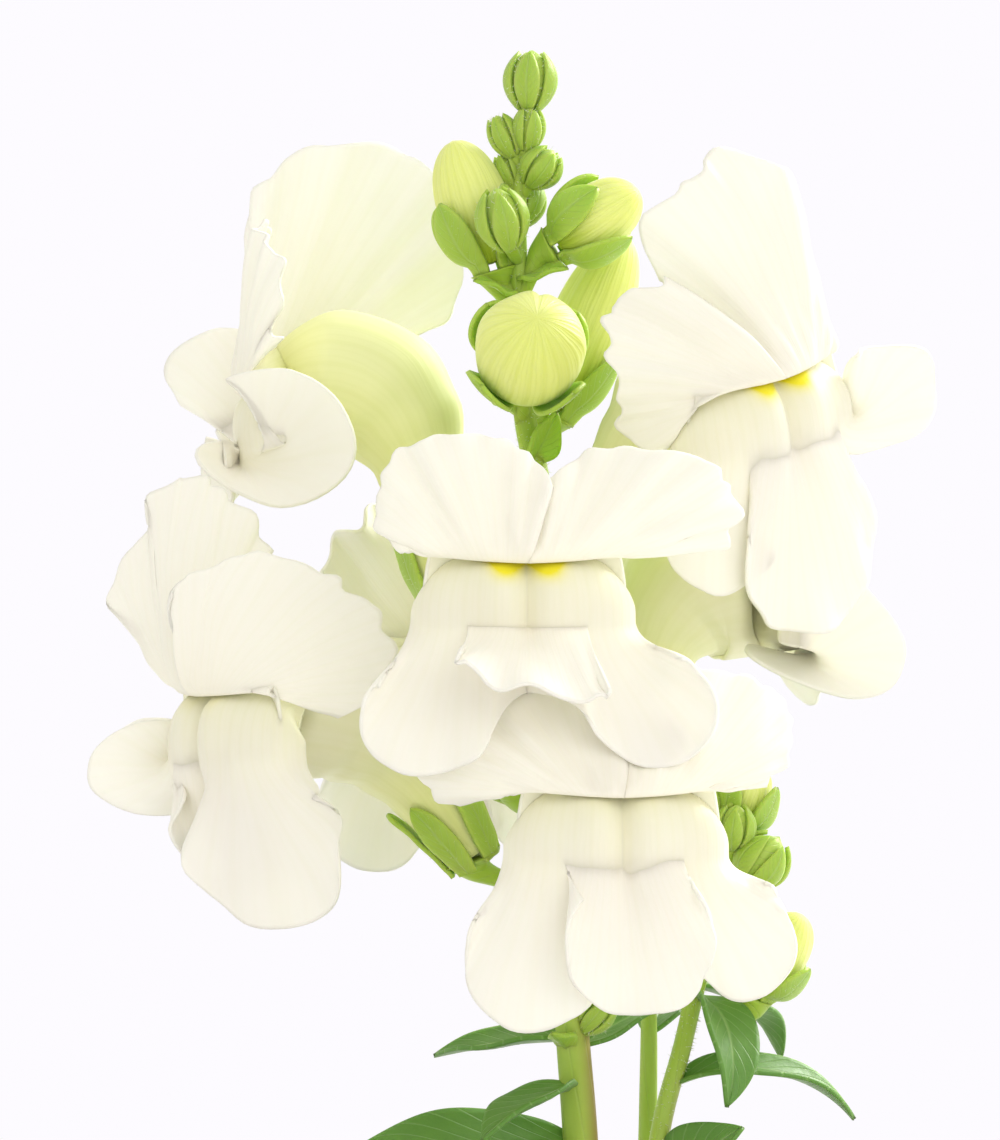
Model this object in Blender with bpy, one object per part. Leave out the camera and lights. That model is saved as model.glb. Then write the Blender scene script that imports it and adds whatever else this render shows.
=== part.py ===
"""A white snapdragon in flower, standing in a plain clay pot.

The pot stands on the plane Z = 0 with its axis on Z. The flower stalk's front is towards -Y.
All sizes below are in millimetres, and MM turns them into Blender's metres.
"""

from math import cos, exp, pi, radians, sin

import bmesh
import bpy
from mathutils import Euler, Matrix, Vector

MM = 0.001

# Pot and soil
POT_RIM_RADIUS = 52.5
POT_FOOT_RADIUS = 37.0
POT_HEIGHT = 95.0
POT_WALL = 4.0
RIM_BAND = 18.0
RIM_STEP = 2.5
DRAIN_RADIUS = 6.0
POT_SIDES = 30
SOIL_TOP = 87.0
SOIL_GAP = 0.3
STEM_DEPTH = 14.0

# Thin parts
PETAL_THICKNESS = 0.6
LEAF_THICKNESS = 0.7
SEPAL_THICKNESS = 0.7
CUP_GAP = 0.35
KEPT_FACES = (0.8, 0.82, 0.84, 0.86, 0.88, 0.9, 0.92, 0.94, 0.96, 0.98)

# An open floret, in its own frame: the middle of its mouth is the origin, and it faces -Y
PALATE_HALF_WIDTH = 9.6
PALATE_DEPTH = 6.0
PALATE_MIDDLE = -3.4
PALATE_HALF_HEIGHT = 5.1
GROOVE_DEPTH = 1.3
GROOVE_WIDTH = 1.3
CREASE = 0.5
TUBE_RADII = (2.1, 2.8, 3.3, 4.1, 5.5, 6.7, 7.0)
TUBE_HEIGHT = 1.0
TUBE_BODY = 0.84
TUBE_NOSE = 2.6

# How far sepals stand off the corolla that they hold, at their foot and at their tip
SEPAL_GAP = 0.8
SEPAL_FLARE = 0.9

POT_CLAY = (0.52, 0.24, 0.14)
SOIL_BROWN = (0.05, 0.035, 0.025)
STEM_GREEN = (0.28, 0.46, 0.05)
LEAF_GREEN = (0.10, 0.26, 0.06)
PETAL_WHITE = (0.88, 0.86, 0.76)
BUD_YELLOW = (0.66, 0.74, 0.17)


def clear_scene():
    for thing in list(bpy.data.objects):
        bpy.data.objects.remove(thing)


def finish_of(name, colour, roughness):
    """A plain dielectric finish of one colour."""
    finish = bpy.data.materials.new(name)
    finish.use_nodes = True
    shader = finish.node_tree.nodes["Principled BSDF"]
    shader.inputs["Base Color"].default_value = (*colour, 1.0)
    shader.inputs["Roughness"].default_value = roughness
    return finish


def mix(a, b, share):
    return a + (b - a) * share


def rise(low, high, value):
    """0 below low, 1 above high, smooth between."""
    share = min(max((value - low) / (high - low), 0.0), 1.0)
    return share * share * (3.0 - 2.0 * share)


def power(value, exponent):
    """value's size to a power, with value's sign."""
    return abs(value) ** exponent * (1.0 if value >= 0.0 else -1.0)


def skin(name, point, columns, rows):
    """A grid with vertices placed by point(u, v), u and v from 0 to 1, the point in millimetres."""
    mesh = bpy.data.meshes.new(name)
    shape = bmesh.new()
    bmesh.ops.create_grid(shape, x_segments=columns, y_segments=rows, size=0.5)
    for vert in shape.verts:
        vert.co = Vector(point(vert.co.x + 0.5, vert.co.y + 0.5)) * MM
    bmesh.ops.remove_doubles(shape, verts=shape.verts, dist=0.0005 * MM)
    bmesh.ops.triangulate(shape, faces=shape.faces, quad_method="FIXED")
    bmesh.ops.recalc_face_normals(shape, faces=shape.faces)
    shape.to_mesh(mesh)
    shape.free()
    thing = bpy.data.objects.new(name, mesh)
    bpy.context.scene.collection.objects.link(thing)
    return thing


def baked(thing):
    """The object with its modifiers applied."""
    graph = bpy.context.evaluated_depsgraph_get()
    mesh = bpy.data.meshes.new_from_object(thing.evaluated_get(graph))
    thing.modifiers.clear()
    thing.data = mesh
    return thing


def sheet(name, point, columns, rows, thickness):
    """A thin wall of even thickness whose middle is the grid placed by point."""
    thing = skin(name, point, columns, rows)
    wall = thing.modifiers.new("Wall", "SOLIDIFY")
    wall.thickness = thickness * MM
    wall.offset = 0.0
    return baked(thing)


def rod(name, stations, sides=8):
    """A round closed rod through stations of (x, y, z, radius)."""
    points = [Vector(station[:3]) for station in stations]
    radii = [station[3] for station in stations]
    last = len(points) - 1

    def ring(index):
        ahead = points[min(index + 1, last)] - points[max(index - 1, 0)]
        across = ahead.cross(Vector((0.0, 1.0, 0.2))).normalized()
        return across, across.cross(ahead).normalized()

    def place(u, v):
        row = round(v * (last + 2)) - 1
        index = min(max(row, 0), last)
        across, upward = ring(index)
        radius = radii[index] if 0 <= row <= last else 0.0
        turn = 2.0 * pi * u
        return points[index] + (across * cos(turn) + upward * sin(turn)) * radius

    return skin(name, place, sides, last + 2)


def bezier(a, b, c, d, share):
    rest = 1.0 - share
    return a * rest**3 + b * 3 * rest**2 * share + c * 3 * rest * share**2 + d * share**3


def fuse(name, pieces, finish):
    """One closed body from overlapping pieces. Hollows sealed by the joining are filled."""
    body = pieces[0]
    body.name = name
    if len(pieces) > 1:
        others = bpy.data.collections.new(name + "_pieces")
        bpy.context.scene.collection.children.link(others)
        for piece in pieces[1:]:
            bpy.context.scene.collection.objects.unlink(piece)
            others.objects.link(piece)
        join = body.modifiers.new("Join", "BOOLEAN")
        join.operation = "UNION"
        join.operand_type = "COLLECTION"
        join.collection = others
        join.solver = "MANIFOLD"
        baked(body)
        for piece in pieces[1:]:
            bpy.data.objects.remove(piece)
        bpy.data.collections.remove(others)
        keep_outer_shell(body.data)
        drop_faces(body)
    body.data.materials.clear()
    body.data.materials.append(finish)
    body.data.shade_smooth()
    return body


def is_closed(mesh):
    """Whether each edge joins exactly two faces and no part of the mesh is loose from the rest."""
    shape = bmesh.new()
    shape.from_mesh(mesh)
    closed = all(edge.is_manifold for edge in shape.edges)
    shape.free()
    return closed


def drop_faces(body):
    """Decimates by the first of a few shares that leaves the body closed."""
    whole = body.data
    for share in KEPT_FACES:
        body.data = whole
        thin = body.modifiers.new("Fewer faces", "DECIMATE")
        thin.ratio = share
        baked(body)
        if is_closed(body.data):
            return
    body.data = whole


def keep_outer_shell(mesh):
    """Drops every part of the mesh but the one with the longest diagonal."""
    shape = bmesh.new()
    shape.from_mesh(mesh)
    left = set(shape.verts)
    shells = []
    while left:
        shell = {left.pop()}
        edge_of_shell = list(shell)
        while edge_of_shell:
            vert = edge_of_shell.pop()
            for edge in vert.link_edges:
                other = edge.other_vert(vert)
                if other in left:
                    left.remove(other)
                    shell.add(other)
                    edge_of_shell.append(other)
        shells.append(shell)

    def diagonal(shell):
        return sum(
            (max(v.co[axis] for v in shell) - min(v.co[axis] for v in shell)) ** 2
            for axis in range(3)
        )

    shells.sort(key=diagonal)
    inner = [vert for shell in shells[:-1] for vert in shell]
    bmesh.ops.delete(shape, geom=inner, context="VERTS")
    bmesh.ops.recalc_face_normals(shape, faces=shape.faces)
    shape.to_mesh(mesh)
    shape.free()


def rounded(u, v):
    """The unit square's far corners rounded off: u from -1 to 1 across, v from 0 to 1 along."""
    return u * (1.0 - 0.42 * v * v) ** 0.5, v * (1.0 - 0.42 * u * u) ** 0.5


def petal_point(s, t, lobe):
    """A point of one lobe: a fan that grows from root along `along` and shows its face to `face`."""
    along = lobe["along"]
    face = lobe["face"]
    across = along.cross(face).normalized()
    out, reach = rounded(s, t)
    edge = 1.0 - lobe.get("nick", 0.05) * sin(lobe["waves"] * 1.7 * s + lobe["phase"]) * t * t
    half = mix(lobe["root_width"], lobe["width"], rise(-0.15, 0.75, reach)) / 2.0
    bend = radians(lobe["bend"])
    travelled = lobe["length"] * reach * edge
    turn = bend * reach
    if abs(bend) > 0.01:
        ahead = travelled * sin(turn) / turn if abs(turn) > 1e-6 else travelled
        lift = travelled * (1.0 - cos(turn)) / turn if abs(turn) > 1e-6 else 0.0
    else:
        ahead, lift = travelled, 0.0
    normal = face * cos(turn) - along * sin(turn)
    wave = lobe["ruffle"] * reach**2 * sin(lobe["waves"] * out * pi + lobe["phase"])
    cup = lobe["cup"] * out * out * reach
    return lobe["root"] + along * ahead + face * lift + across * (out * half) + normal * (wave + cup)


def lobe_of(root, splay, lean, length, width, bend, phase, cup=-0.6, twist=0.0, root_width=9.5, ruffle=0.9,
            waves=2.5):
    """A lobe that stands up facing the front, twisted, turned outwards by splay, tipped back by lean."""
    turn = (
        Matrix.Rotation(radians(-lean), 3, "X")
        @ Matrix.Rotation(radians(splay), 3, "Y")
        @ Matrix.Rotation(radians(twist), 3, "Z")
    )
    return {
        "root": Vector(root),
        "along": turn @ Vector((0.0, 0.0, 1.0)),
        "face": turn @ Vector((0.0, -1.0, 0.0)),
        "length": length,
        "width": width,
        "root_width": root_width,
        "bend": bend,
        "cup": cup,
        "ruffle": ruffle,
        "waves": waves,
        "phase": phase,
    }


def bib_point(s, t, floret):
    """The palate, from inside the mouth over its two humps, and the two side lobes that hang from it."""
    spread = radians(80.0) * s
    share = min(t / CREASE, 1.0)
    dip = radians(mix(112.0, -62.0, share))
    hump = PALATE_DEPTH * power(cos(dip), 0.8) * cos(spread) ** 0.7
    x = PALATE_HALF_WIDTH * sin(spread) / sin(radians(80.0)) * (1.0 - 0.16 * max(sin(dip), 0.0))
    z = PALATE_MIDDLE + PALATE_HALF_HEIGHT * power(sin(dip), 0.9) * cos(spread) ** 0.3
    groove = exp(-((x / GROOVE_WIDTH) ** 2)) * GROOVE_DEPTH
    knob = 0.7 * exp(-(((abs(x) - 2.9) / 1.7) ** 2))
    forward = hump + (knob - groove) * max(cos(dip), 0.0)
    if t <= CREASE:
        return Vector((x, -forward, z))
    side = floret["left"] if s < 0.0 else floret["right"]
    outer = min(abs(s), 1.0)
    reach = (t - CREASE) / (1.0 - CREASE)
    start = radians(45.0)
    end = radians(-195.0)
    turn = mix(end, start, rise(0.0, 1.0, outer))
    tip_x = side["x"] + side["half_width"] * cos(turn)
    tip_z = side["z"] + side["half_height"] * sin(turn) * (1.0 + 0.05 * sin(9.0 * outer + side["phase"]))
    sinus = rise(0.0, 0.22, outer)
    tip_x = mix(0.0, tip_x, sinus)
    tip_z = mix(-12.0, tip_z, sinus)
    ripple = floret.get("side_ruffle", 0.7) * sin(7.0 * outer + side["phase"]) * reach**2
    bow = side["bow"] * sin(pi * reach)
    tip_forward = side["forward"] + side["curl"] * rise(0.45, 1.0, outer)
    sign = -1.0 if s < 0.0 else 1.0
    return Vector(
        (
            mix(x, sign * tip_x, reach),
            -(mix(forward, tip_forward, reach) + bow + ripple),
            mix(z, tip_z, reach),
        )
    )


def side_lobe(x=8.7, z=-14.5, half_width=5.8, half_height=6.3, forward=4.0, bow=1.2, curl=-2.0, phase=0.0):
    """A side lobe of the lower lip: where its middle hangs and how big it is."""
    return {
        "x": x,
        "z": z,
        "half_width": half_width,
        "half_height": half_height,
        "forward": forward,
        "bow": bow,
        "curl": curl,
        "phase": phase,
    }


def middle_lobe(droop=75.0, length=11.5, width=13.5, bend=10.0, cup=-1.0, phase=0.5, x=0.4, swing=0.0):
    """The lower lip's middle lobe: droop is how far it hangs below level."""
    lobe = lobe_of(
        (x, -2.6, -7.4), swing, -(90.0 + droop), length, width, bend, phase, cup,
        root_width=10.5, ruffle=0.6, waves=3.0,
    )
    lobe["face"] = -lobe["face"]
    return lobe


# Each open floret: the middle of its mouth, its turn about Z (0 faces the front), its nod and its roll
# in degrees, the foot of its tube, and its lobes. A floret's own left is the viewer's left from its front.
FLORETS = {
    "floret_top_left": {
        "mouth": (-26.1, 6.0, 211.5),
        "turn": -100.0,
        "nod": 6.0,
        "roll": 0.0,
        "foot": (-12.6, 3.0, 192.0),
        "upper_left": {
            "splay": -12.0, "lean": 34.0, "twist": -55.0, "length": 24.0, "width": 22.0,
            "bend": -12.0, "phase": 0.4,
        },
        "upper_right": {
            "splay": 22.0, "lean": -2.0, "length": 14.0, "width": 12.0, "bend": -25.0,
            "cup": -3.0, "phase": 2.0,
        },
        "left": {"x": 10.5, "z": -4.0, "half_width": 6.0, "half_height": 4.0, "forward": 12.0},
        "right": {"x": 6.5, "z": -8.5, "half_width": 5.0, "half_height": 5.5, "forward": 11.0},
        "middle": {"droop": 50.0, "length": 13.0},
    },
    "floret_mid_left": {
        "mouth": (-30.2, -12.0, 183.6),
        "turn": -58.0,
        "nod": 0.0,
        "roll": 0.0,
        "foot": (-11.0, -3.5, 169.5),
        "upper_left": {
            "splay": -32.0, "lean": -4.0, "length": 19.0, "width": 16.0, "bend": -20.0,
            "phase": 1.4,
        },
        "upper_right": {
            "splay": 26.0, "lean": -6.0, "length": 15.0, "width": 21.0, "root_width": 12.0,
            "bend": -30.0, "phase": 0.2,
        },
        "left": {"x": 9.5, "z": -8.5, "half_width": 6.0, "half_height": 4.2, "forward": 11.0},
        "right": {"x": 8.0, "z": -12.0, "half_width": 5.0, "half_height": 5.5, "forward": 3.0},
        "middle": {"droop": 74.0, "length": 14.5, "width": 16.0},
    },
    "floret_front_upper": {
        "mouth": (-6.2, -27.0, 195.4),
        "turn": 4.0,
        "nod": 0.0,
        "roll": 0.0,
        "foot": (-4.3, -4.5, 184.5),
        "upper_left": {
            "root": (0.6, -2.8, 2.4), "splay": -64.0, "lean": 22.0, "length": 16.5,
            "width": 15.0, "bend": -35.0, "phase": 0.9,
        },
        "upper_right": {
            "root": (0.8, -3.4, 2.2), "splay": 66.0, "lean": 22.0, "length": 19.0,
            "width": 14.5, "bend": -25.0, "phase": 2.2,
        },
        "left": {"x": 9.0, "z": -13.8, "half_width": 5.4, "half_height": 4.6, "forward": 5.0},
        "right": {"x": 11.0, "z": -12.6, "half_width": 5.6, "half_height": 4.6, "forward": 6.5, "curl": 2.0},
        "middle": {"droop": 8.0, "length": 11.0, "width": 13.0, "bend": 35.0},
    },
    "floret_front_lower": {
        "mouth": (1.8, -29.0, 175.3),
        "turn": 6.0,
        "nod": 0.0,
        "roll": 0.0,
        "foot": (-2.3, -4.5, 163.0),
        "upper_left": {
            "root": (0.6, -2.4, 1.4), "splay": -86.0, "lean": 20.0, "length": 20.0,
            "width": 15.0, "bend": -25.0, "phase": 1.7,
        },
        "upper_right": {
            "root": (0.8, -3.0, 1.4), "splay": 66.0, "lean": 16.0, "length": 17.0,
            "width": 14.5, "bend": -25.0, "phase": 0.1,
        },
        "left": {"half_width": 5.4, "half_height": 5.8},
        "right": {"x": 9.6, "z": -12.6, "half_width": 5.2, "half_height": 5.0},
        "middle": {"droop": 72.0},
    },
    "floret_top_right": {
        "mouth": (14.3, -12.0, 212.0),
        "turn": 50.0,
        "nod": 5.0,
        "roll": 0.0,
        "foot": (-0.8, -3.0, 197.0),
        "upper_left": {
            "splay": -56.0, "lean": 12.0, "length": 19.0, "width": 20.0,
            "root_width": 11.0, "bend": -25.0, "phase": 2.4,
        },
        "upper_right": {
            "splay": 8.0, "lean": 8.0, "length": 21.0, "width": 19.0, "root_width": 11.0,
            "bend": -20.0, "phase": 0.7,
        },
        "left": {"x": 8.0, "z": -12.0, "half_width": 5.0, "half_height": 5.5, "forward": 3.0},
        "right": {"x": 11.0, "z": -5.5, "half_width": 6.0, "half_height": 4.4, "forward": 9.0},
        "middle": {"droop": 70.0, "length": 15.0, "width": 16.0},
    },
    "floret_low_right": {
        "mouth": (14.5, 8.0, 193.5),
        "turn": 104.0,
        "nod": 0.0,
        "roll": 0.0,
        "foot": (3.5, 3.0, 178.0),
        "upper_left": {
            "splay": -30.0, "lean": 24.0, "length": 14.0, "width": 15.0, "bend": -30.0,
            "phase": 0.6,
        },
        "upper_right": {
            "splay": 30.0, "lean": 20.0, "length": 15.0, "width": 16.0, "bend": -30.0,
            "phase": 1.9,
        },
        "left": {"x": 6.5, "z": -7.5, "half_width": 5.0, "half_height": 4.5, "forward": 13.0},
        "right": {"x": 9.5, "z": -6.5, "half_width": 5.5, "half_height": 4.5, "forward": 10.0},
        "middle": {"droop": 30.0, "length": 15.0},
    },
    "floret_back": {
        "mouth": (-10.5, 22.5, 187.5),
        "turn": -165.0,
        "nod": 0.0,
        "roll": 0.0,
        "foot": (-6.5, 5.0, 175.5),
        "upper_left": {
            "splay": -34.0, "lean": 10.0, "length": 16.0, "width": 16.0, "bend": -40.0,
            "phase": 2.6,
        },
        "upper_right": {
            "splay": 40.0, "lean": 10.0, "length": 17.0, "width": 16.0, "bend": -40.0,
            "phase": 0.3,
        },
        "left": {},
        "right": {},
        "middle": {},
    },
}


def floret_frame(floret):
    turn = Euler((radians(floret["nod"]), radians(floret["roll"]), radians(floret["turn"])), "XYZ")
    return Matrix.Translation(floret["mouth"]) @ turn.to_matrix().to_4x4()


def tube_ends(floret):
    """The four control points of the tube's middle line, in the plant's frame."""
    frame = floret_frame(floret)
    foot = Vector(floret["foot"])
    mouth = frame @ Vector((0.0, 3.4, 0.0))
    back = (frame.to_3x3() @ Vector((0.0, 1.0, -0.15))).normalized()
    span = (mouth - foot).length
    start = ((mouth - foot).normalized() + Vector((0.0, 0.0, 0.55))).normalized()
    return foot, foot + start * span * 0.35, mouth + back * span * 0.38, mouth


def floret_body(floret):
    """The tube as rings: ring(v) gives its middle, its two directions across and its two radii."""
    frame = floret_frame(floret)
    side = frame.to_3x3() @ Vector((1.0, 0.0, 0.0))
    ends = tube_ends(floret)
    start = (ends[1] - ends[0]).normalized()
    span = (ends[3] - ends[0]).length

    def ring(v):
        share = min(max(v / TUBE_BODY, 0.0), 1.0)
        middle = bezier(*ends, share)
        ahead = (bezier(*ends, min(share + 0.02, 1.0)) - bezier(*ends, max(share - 0.02, 0.0))).normalized()
        upward = side.cross(ahead).normalized()
        upward = -upward if upward.z < 0.0 else upward
        across = ahead.cross(upward).normalized()
        place = share * (len(TUBE_RADII) - 1)
        index = min(int(place), len(TUBE_RADII) - 2)
        radius = mix(TUBE_RADII[index], TUBE_RADII[index + 1], place - index)
        if v > TUBE_BODY:
            closing = (v - TUBE_BODY) / (1.0 - TUBE_BODY) * pi / 2.0
            radius *= cos(closing)
            middle = middle + ahead * TUBE_NOSE * sin(closing)
        if v < 0.0:
            middle = middle + start * span * v
        return middle, across, upward, radius, radius * TUBE_HEIGHT

    return ring


def bud_body(foot, tip, radius):
    """A closed corolla as rings: widest past its middle."""
    axis = tip - foot
    along = axis.normalized()
    across = along.cross(Vector((0.0, 1.0, 0.15))).normalized()
    upward = across.cross(along).normalized()

    def ring(v):
        girth = radius * sin(pi * min(max(v, 0.0), 1.0) ** 0.85) ** 0.62
        if v < 0.12:
            girth = max(girth, radius * 0.5)
        return foot + axis * v, across, upward, girth, girth

    return ring


def body_point(u, v, ring):
    """A point of the closed skin round a body's rings."""
    middle, across, upward, wide, high = ring(v)
    if v <= 0.0 or v >= 1.0:
        return middle
    turn = 2.0 * pi * u
    return middle + across * (cos(turn) * wide) + upward * (sin(turn) * high)


def sepal_point(s, t, ring, heading, reach, half_angle):
    """A pointed sepal that lies over a body without touching it, rooted in the knob below the body's foot."""
    v = mix(-0.05, reach, t)
    middle, across, upward, wide, high = ring(v)
    shape = (1.0 - t) ** 0.7 * (0.75 + 1.1 * t)
    turn = heading + s * half_angle * shape
    gap = SEPAL_GAP + SEPAL_FLARE * t * t
    if t < 0.12:
        gap = 0.15
    return middle + across * (cos(turn) * (wide + gap)) + upward * (sin(turn) * (high + gap))


def cup_of(ring, seat, reach, count=5, phase=0.3, half_angle=0.5):
    """A calyx: a stalk from its seat on the stem, a knob under the corolla's foot, and pointed sepals."""
    foot, _, _, wide, _ = ring(0.0)
    along = (ring(0.05)[0] - foot).normalized()
    seat = Vector(seat)
    knob = foot - along * (CUP_GAP + 1.6)
    pieces = [
        rod(
            "knob",
            [
                (*seat, 0.8),
                (*seat.lerp(knob, 0.6), 0.75),
                (*knob, 1.25),
                (*(foot - along * CUP_GAP), wide + 0.75),
            ],
            6,
        )
    ]
    for index in range(count):
        heading = 2.0 * pi * index / count + phase
        pieces.append(
            sheet(
                "sepal",
                lambda u, v: sepal_point(u * 2.0 - 1.0, v, ring, heading, reach, half_angle),
                2, 2, SEPAL_THICKNESS,
            )
        )
    return pieces


UPPER_ROOT = (3.7, -4.3, 0.0)


def upper_lobe(side, lobe):
    """One lobe of the upper lip; side is -1 for the left one and 1 for the right one."""
    x, y, z = lobe.get("root", UPPER_ROOT)
    return lobe_of(**{**lobe, "root": (side * x, y, z)})


def build_floret(name, floret, finish):
    frame = floret_frame(floret)
    sides = {
        "left": side_lobe(**{"phase": 0.4, **floret["left"]}),
        "right": side_lobe(**{"phase": 1.9, **floret["right"]}),
    }
    lobes = [
        upper_lobe(-1.0, floret["upper_left"]),
        upper_lobe(1.0, floret["upper_right"]),
        middle_lobe(**floret["middle"]),
    ]
    ring = floret_body(floret)
    pieces = [skin(name, lambda u, v: body_point(u, v, ring), 8, 7)]
    pieces.append(
        sheet("bib", lambda u, v: frame @ bib_point(u * 2.0 - 1.0, v, sides), 10, 7, PETAL_THICKNESS)
    )
    for lobe in lobes:
        pieces.append(
            sheet("lobe", lambda u, v: frame @ petal_point(u * 2.0 - 1.0, v, lobe), 5, 3, PETAL_THICKNESS)
        )
    return fuse(name, pieces, finish)


def blade_point(s, t, blade):
    """A leaf or sepal: root, along, face, length, width, arch (bends away from face), fold and wave."""
    along = blade["along"]
    face = blade["face"]
    across = along.cross(face).normalized()
    wide = blade["widest"]
    shape = sin(pi * t**wide) ** 0.85 if 0.0 < t < 1.0 else 0.0
    half = max(blade["width"] / 2.0 * shape, blade["stalk"] * (1.0 - t))
    bend = radians(blade["arch"]) * t
    ahead = blade["length"] * t * (sin(bend) / bend if abs(bend) > 1e-6 else 1.0)
    drop = blade["length"] * t * ((1.0 - cos(bend)) / bend if abs(bend) > 1e-6 else 0.0)
    normal = face * cos(bend) + along * sin(bend)
    lift = blade["fold"] * abs(s) * half + blade["wave"] * sin(9.0 * t + blade["phase"]) * abs(s) * shape
    return blade["root"] + along * ahead - face * drop + across * (s * half) + normal * lift


def blade(name, root, along, face, length, width, arch=25.0, fold=0.35, wave=0.3, phase=0.0, widest=0.8,
          stalk=0.5, rows=4, thickness=LEAF_THICKNESS):
    along = Vector(along).normalized()
    face = Vector(face)
    face = (face - along * face.dot(along)).normalized()
    shape = {
        "root": Vector(root),
        "along": along,
        "face": face,
        "length": length,
        "width": width,
        "arch": arch,
        "fold": fold,
        "wave": wave,
        "phase": phase,
        "widest": widest,
        "stalk": stalk,
    }
    return sheet(name, lambda u, v: blade_point(u * 2.0 - 1.0, v, shape), 2, rows, thickness)


# The flower stalk and main stem, from its foot in the soil to its tip: x, y, z, radius
MAIN_STEM = (
    (0.6, 0.0, SOIL_TOP - STEM_DEPTH, 1.7),
    (0.6, 0.0, 92.0, 1.75),
    (0.2, 0.0, 112.0, 1.7),
    (-0.5, 0.0, 130.0, 1.65),
    (-0.9, 0.0, 143.0, 1.6),
    (-1.8, 0.0, 155.0, 1.5),
    (-2.6, 0.0, 170.0, 1.3),
    (-3.6, 0.0, 188.0, 1.2),
    (-4.6, 0.0, 202.0, 1.1),
    (-6.0, 0.0, 210.0, 1.0),
    (-6.5, 0.0, 223.0, 0.85),
    (-6.4, 0.0, 230.0, 0.7),
    (-5.7, 0.0, 236.0, 0.6),
    (-5.5, 0.0, 240.0, 0.5),
)


def stem_at(stations, height):
    for low, high in zip(stations, stations[1:]):
        if low[2] <= height <= high[2]:
            share = (height - low[2]) / (high[2] - low[2])
            return Vector(low[:3]).lerp(Vector(high[:3]), share)
    return Vector(stations[-1][:3])


RIGHT_SHOOT = (
    (6.2, 5.5, SOIL_TOP - STEM_DEPTH, 1.1),
    (6.2, 5.5, 92.0, 1.15),
    (5.4, 4.8, 115.0, 1.1),
    (5.3, 3.8, 132.0, 1.0),
    (6.4, 3.0, 143.3, 0.9),
    (8.5, 3.0, 151.5, 0.85),
    (10.1, 3.0, 158.2, 0.85),
    (11.9, 3.2, 164.0, 0.8),
    (12.9, 3.4, 168.0, 0.7),
)
BACK_SHOOT = (
    (1.5, 12.5, SOIL_TOP - STEM_DEPTH, 1.1),
    (1.5, 12.5, 92.0, 1.15),
    (3.6, 12.0, 115.0, 1.0),
    (5.2, 11.0, 135.0, 0.9),
    (5.6, 10.5, 150.0, 0.8),
    (5.5, 10.5, 160.0, 0.6),
)
LEFT_SHOOT = (
    (-12.0, 4.0, SOIL_TOP - STEM_DEPTH, 1.0),
    (-12.0, 4.0, 92.0, 1.05),
    (-15.0, 5.0, 108.0, 0.95),
    (-17.0, 6.0, 120.0, 0.8),
    (-18.0, 6.5, 128.0, 0.6),
)
FRONT_SHOOT = (
    (7.0, -11.0, SOIL_TOP - STEM_DEPTH, 1.0),
    (7.0, -11.0, 92.0, 1.05),
    (10.0, -14.5, 107.0, 0.95),
    (12.0, -17.0, 118.0, 0.8),
    (12.8, -18.0, 125.0, 0.6),
)
SHOOTS = (MAIN_STEM, RIGHT_SHOOT, BACK_SHOOT, LEFT_SHOOT, FRONT_SHOOT)

# Leaves low on the stems: pairs at even steps, each pair turned on from the last
LEAF_PAIR_TURN = 80.0
LOW_LEAF_LENGTH = 24.0
LOW_LEAF_WIDTH = 7.5

# Leaves and bracts that are placed one by one: root, direction, face, length, width, arch
MAIN_LEAVES = (
    ((-2.0, 0.6, 152.4), (-1.0, 0.4, -0.05), (0.1, -0.35, 1.0), 13.5, 6.0, 12.0),
    ((-1.4, -0.8, 148.2), (-0.68, -0.68, -0.12), (-0.3, -0.2, 1.0), 13.0, 6.0, 25.0),
    ((-0.8, -0.4, 142.6), (-1.0, -0.25, 0.12), (0.1, -0.45, 1.0), 22.0, 8.0, 18.0),
    ((-1.0, 0.8, 151.6), (0.85, 0.5, 0.5), (-0.3, -0.6, 0.8), 11.5, 4.6, 10.0),
    ((-1.8, -0.6, 151.4), (-0.5, -0.75, 0.6), (0.2, 0.5, 0.8), 3.6, 2.6, 10.0),
    ((-5.4, -0.6, 204.6), (0.45, -0.35, 0.8), (0.6, -0.7, 0.3), 5.6, 3.4, 10.0),
    ((-6.3, -0.5, 209.0), (-0.5, -0.5, 0.5), (0.3, 0.6, 0.7), 4.4, 3.0, 10.0),
    ((-6.4, -0.5, 221.5), (0.7, -0.5, 0.2), (-0.3, -0.5, 0.8), 5.2, 2.8, 10.0),
    ((-6.6, -0.3, 220.2), (-0.8, -0.5, 0.3), (0.4, -0.5, 0.8), 4.6, 2.6, 10.0),
    ((-3.2, -0.8, 178.6), (-0.5, -0.7, 0.5), (0.3, 0.5, 0.8), 5.5, 3.0, 10.0),
)
RIGHT_LEAVES = (
    ((10.0, 2.4, 156.0), (0.42, -0.7, -0.1), (0.5, -0.3, 0.9), 14.0, 6.0, 85.0),
    ((7.6, 3.0, 148.0), (0.93, 0.1, 0.42), (-0.4, -0.4, 0.9), 19.5, 5.0, 75.0),
    ((9.9, 3.8, 157.0), (0.7, 0.65, -0.15), (-0.2, -0.5, 0.9), 15.0, 5.5, 45.0),
    ((5.6, 2.6, 137.0), (0.5, -0.5, 0.65), (-0.5, -0.6, 0.6), 12.5, 7.5, 20.0),
    ((5.4, 3.8, 130.5), (0.86, 0.0, 0.55), (-0.5, -0.2, 0.9), 25.0, 5.5, 8.0),
    ((9.6, 2.6, 157.2), (-0.6, -0.5, 0.6), (0.3, 0.5, 0.8), 3.2, 2.2, 10.0),
)
BACK_LEAVES = (
    ((5.5, 11.0, 152.0), (0.3, 0.8, 0.5), (0.0, -0.5, 0.9), 13.0, 5.0, 30.0),
    ((5.5, 11.0, 156.0), (0.8, 0.4, 0.5), (-0.4, -0.5, 0.9), 10.0, 4.0, 30.0),
)

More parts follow.
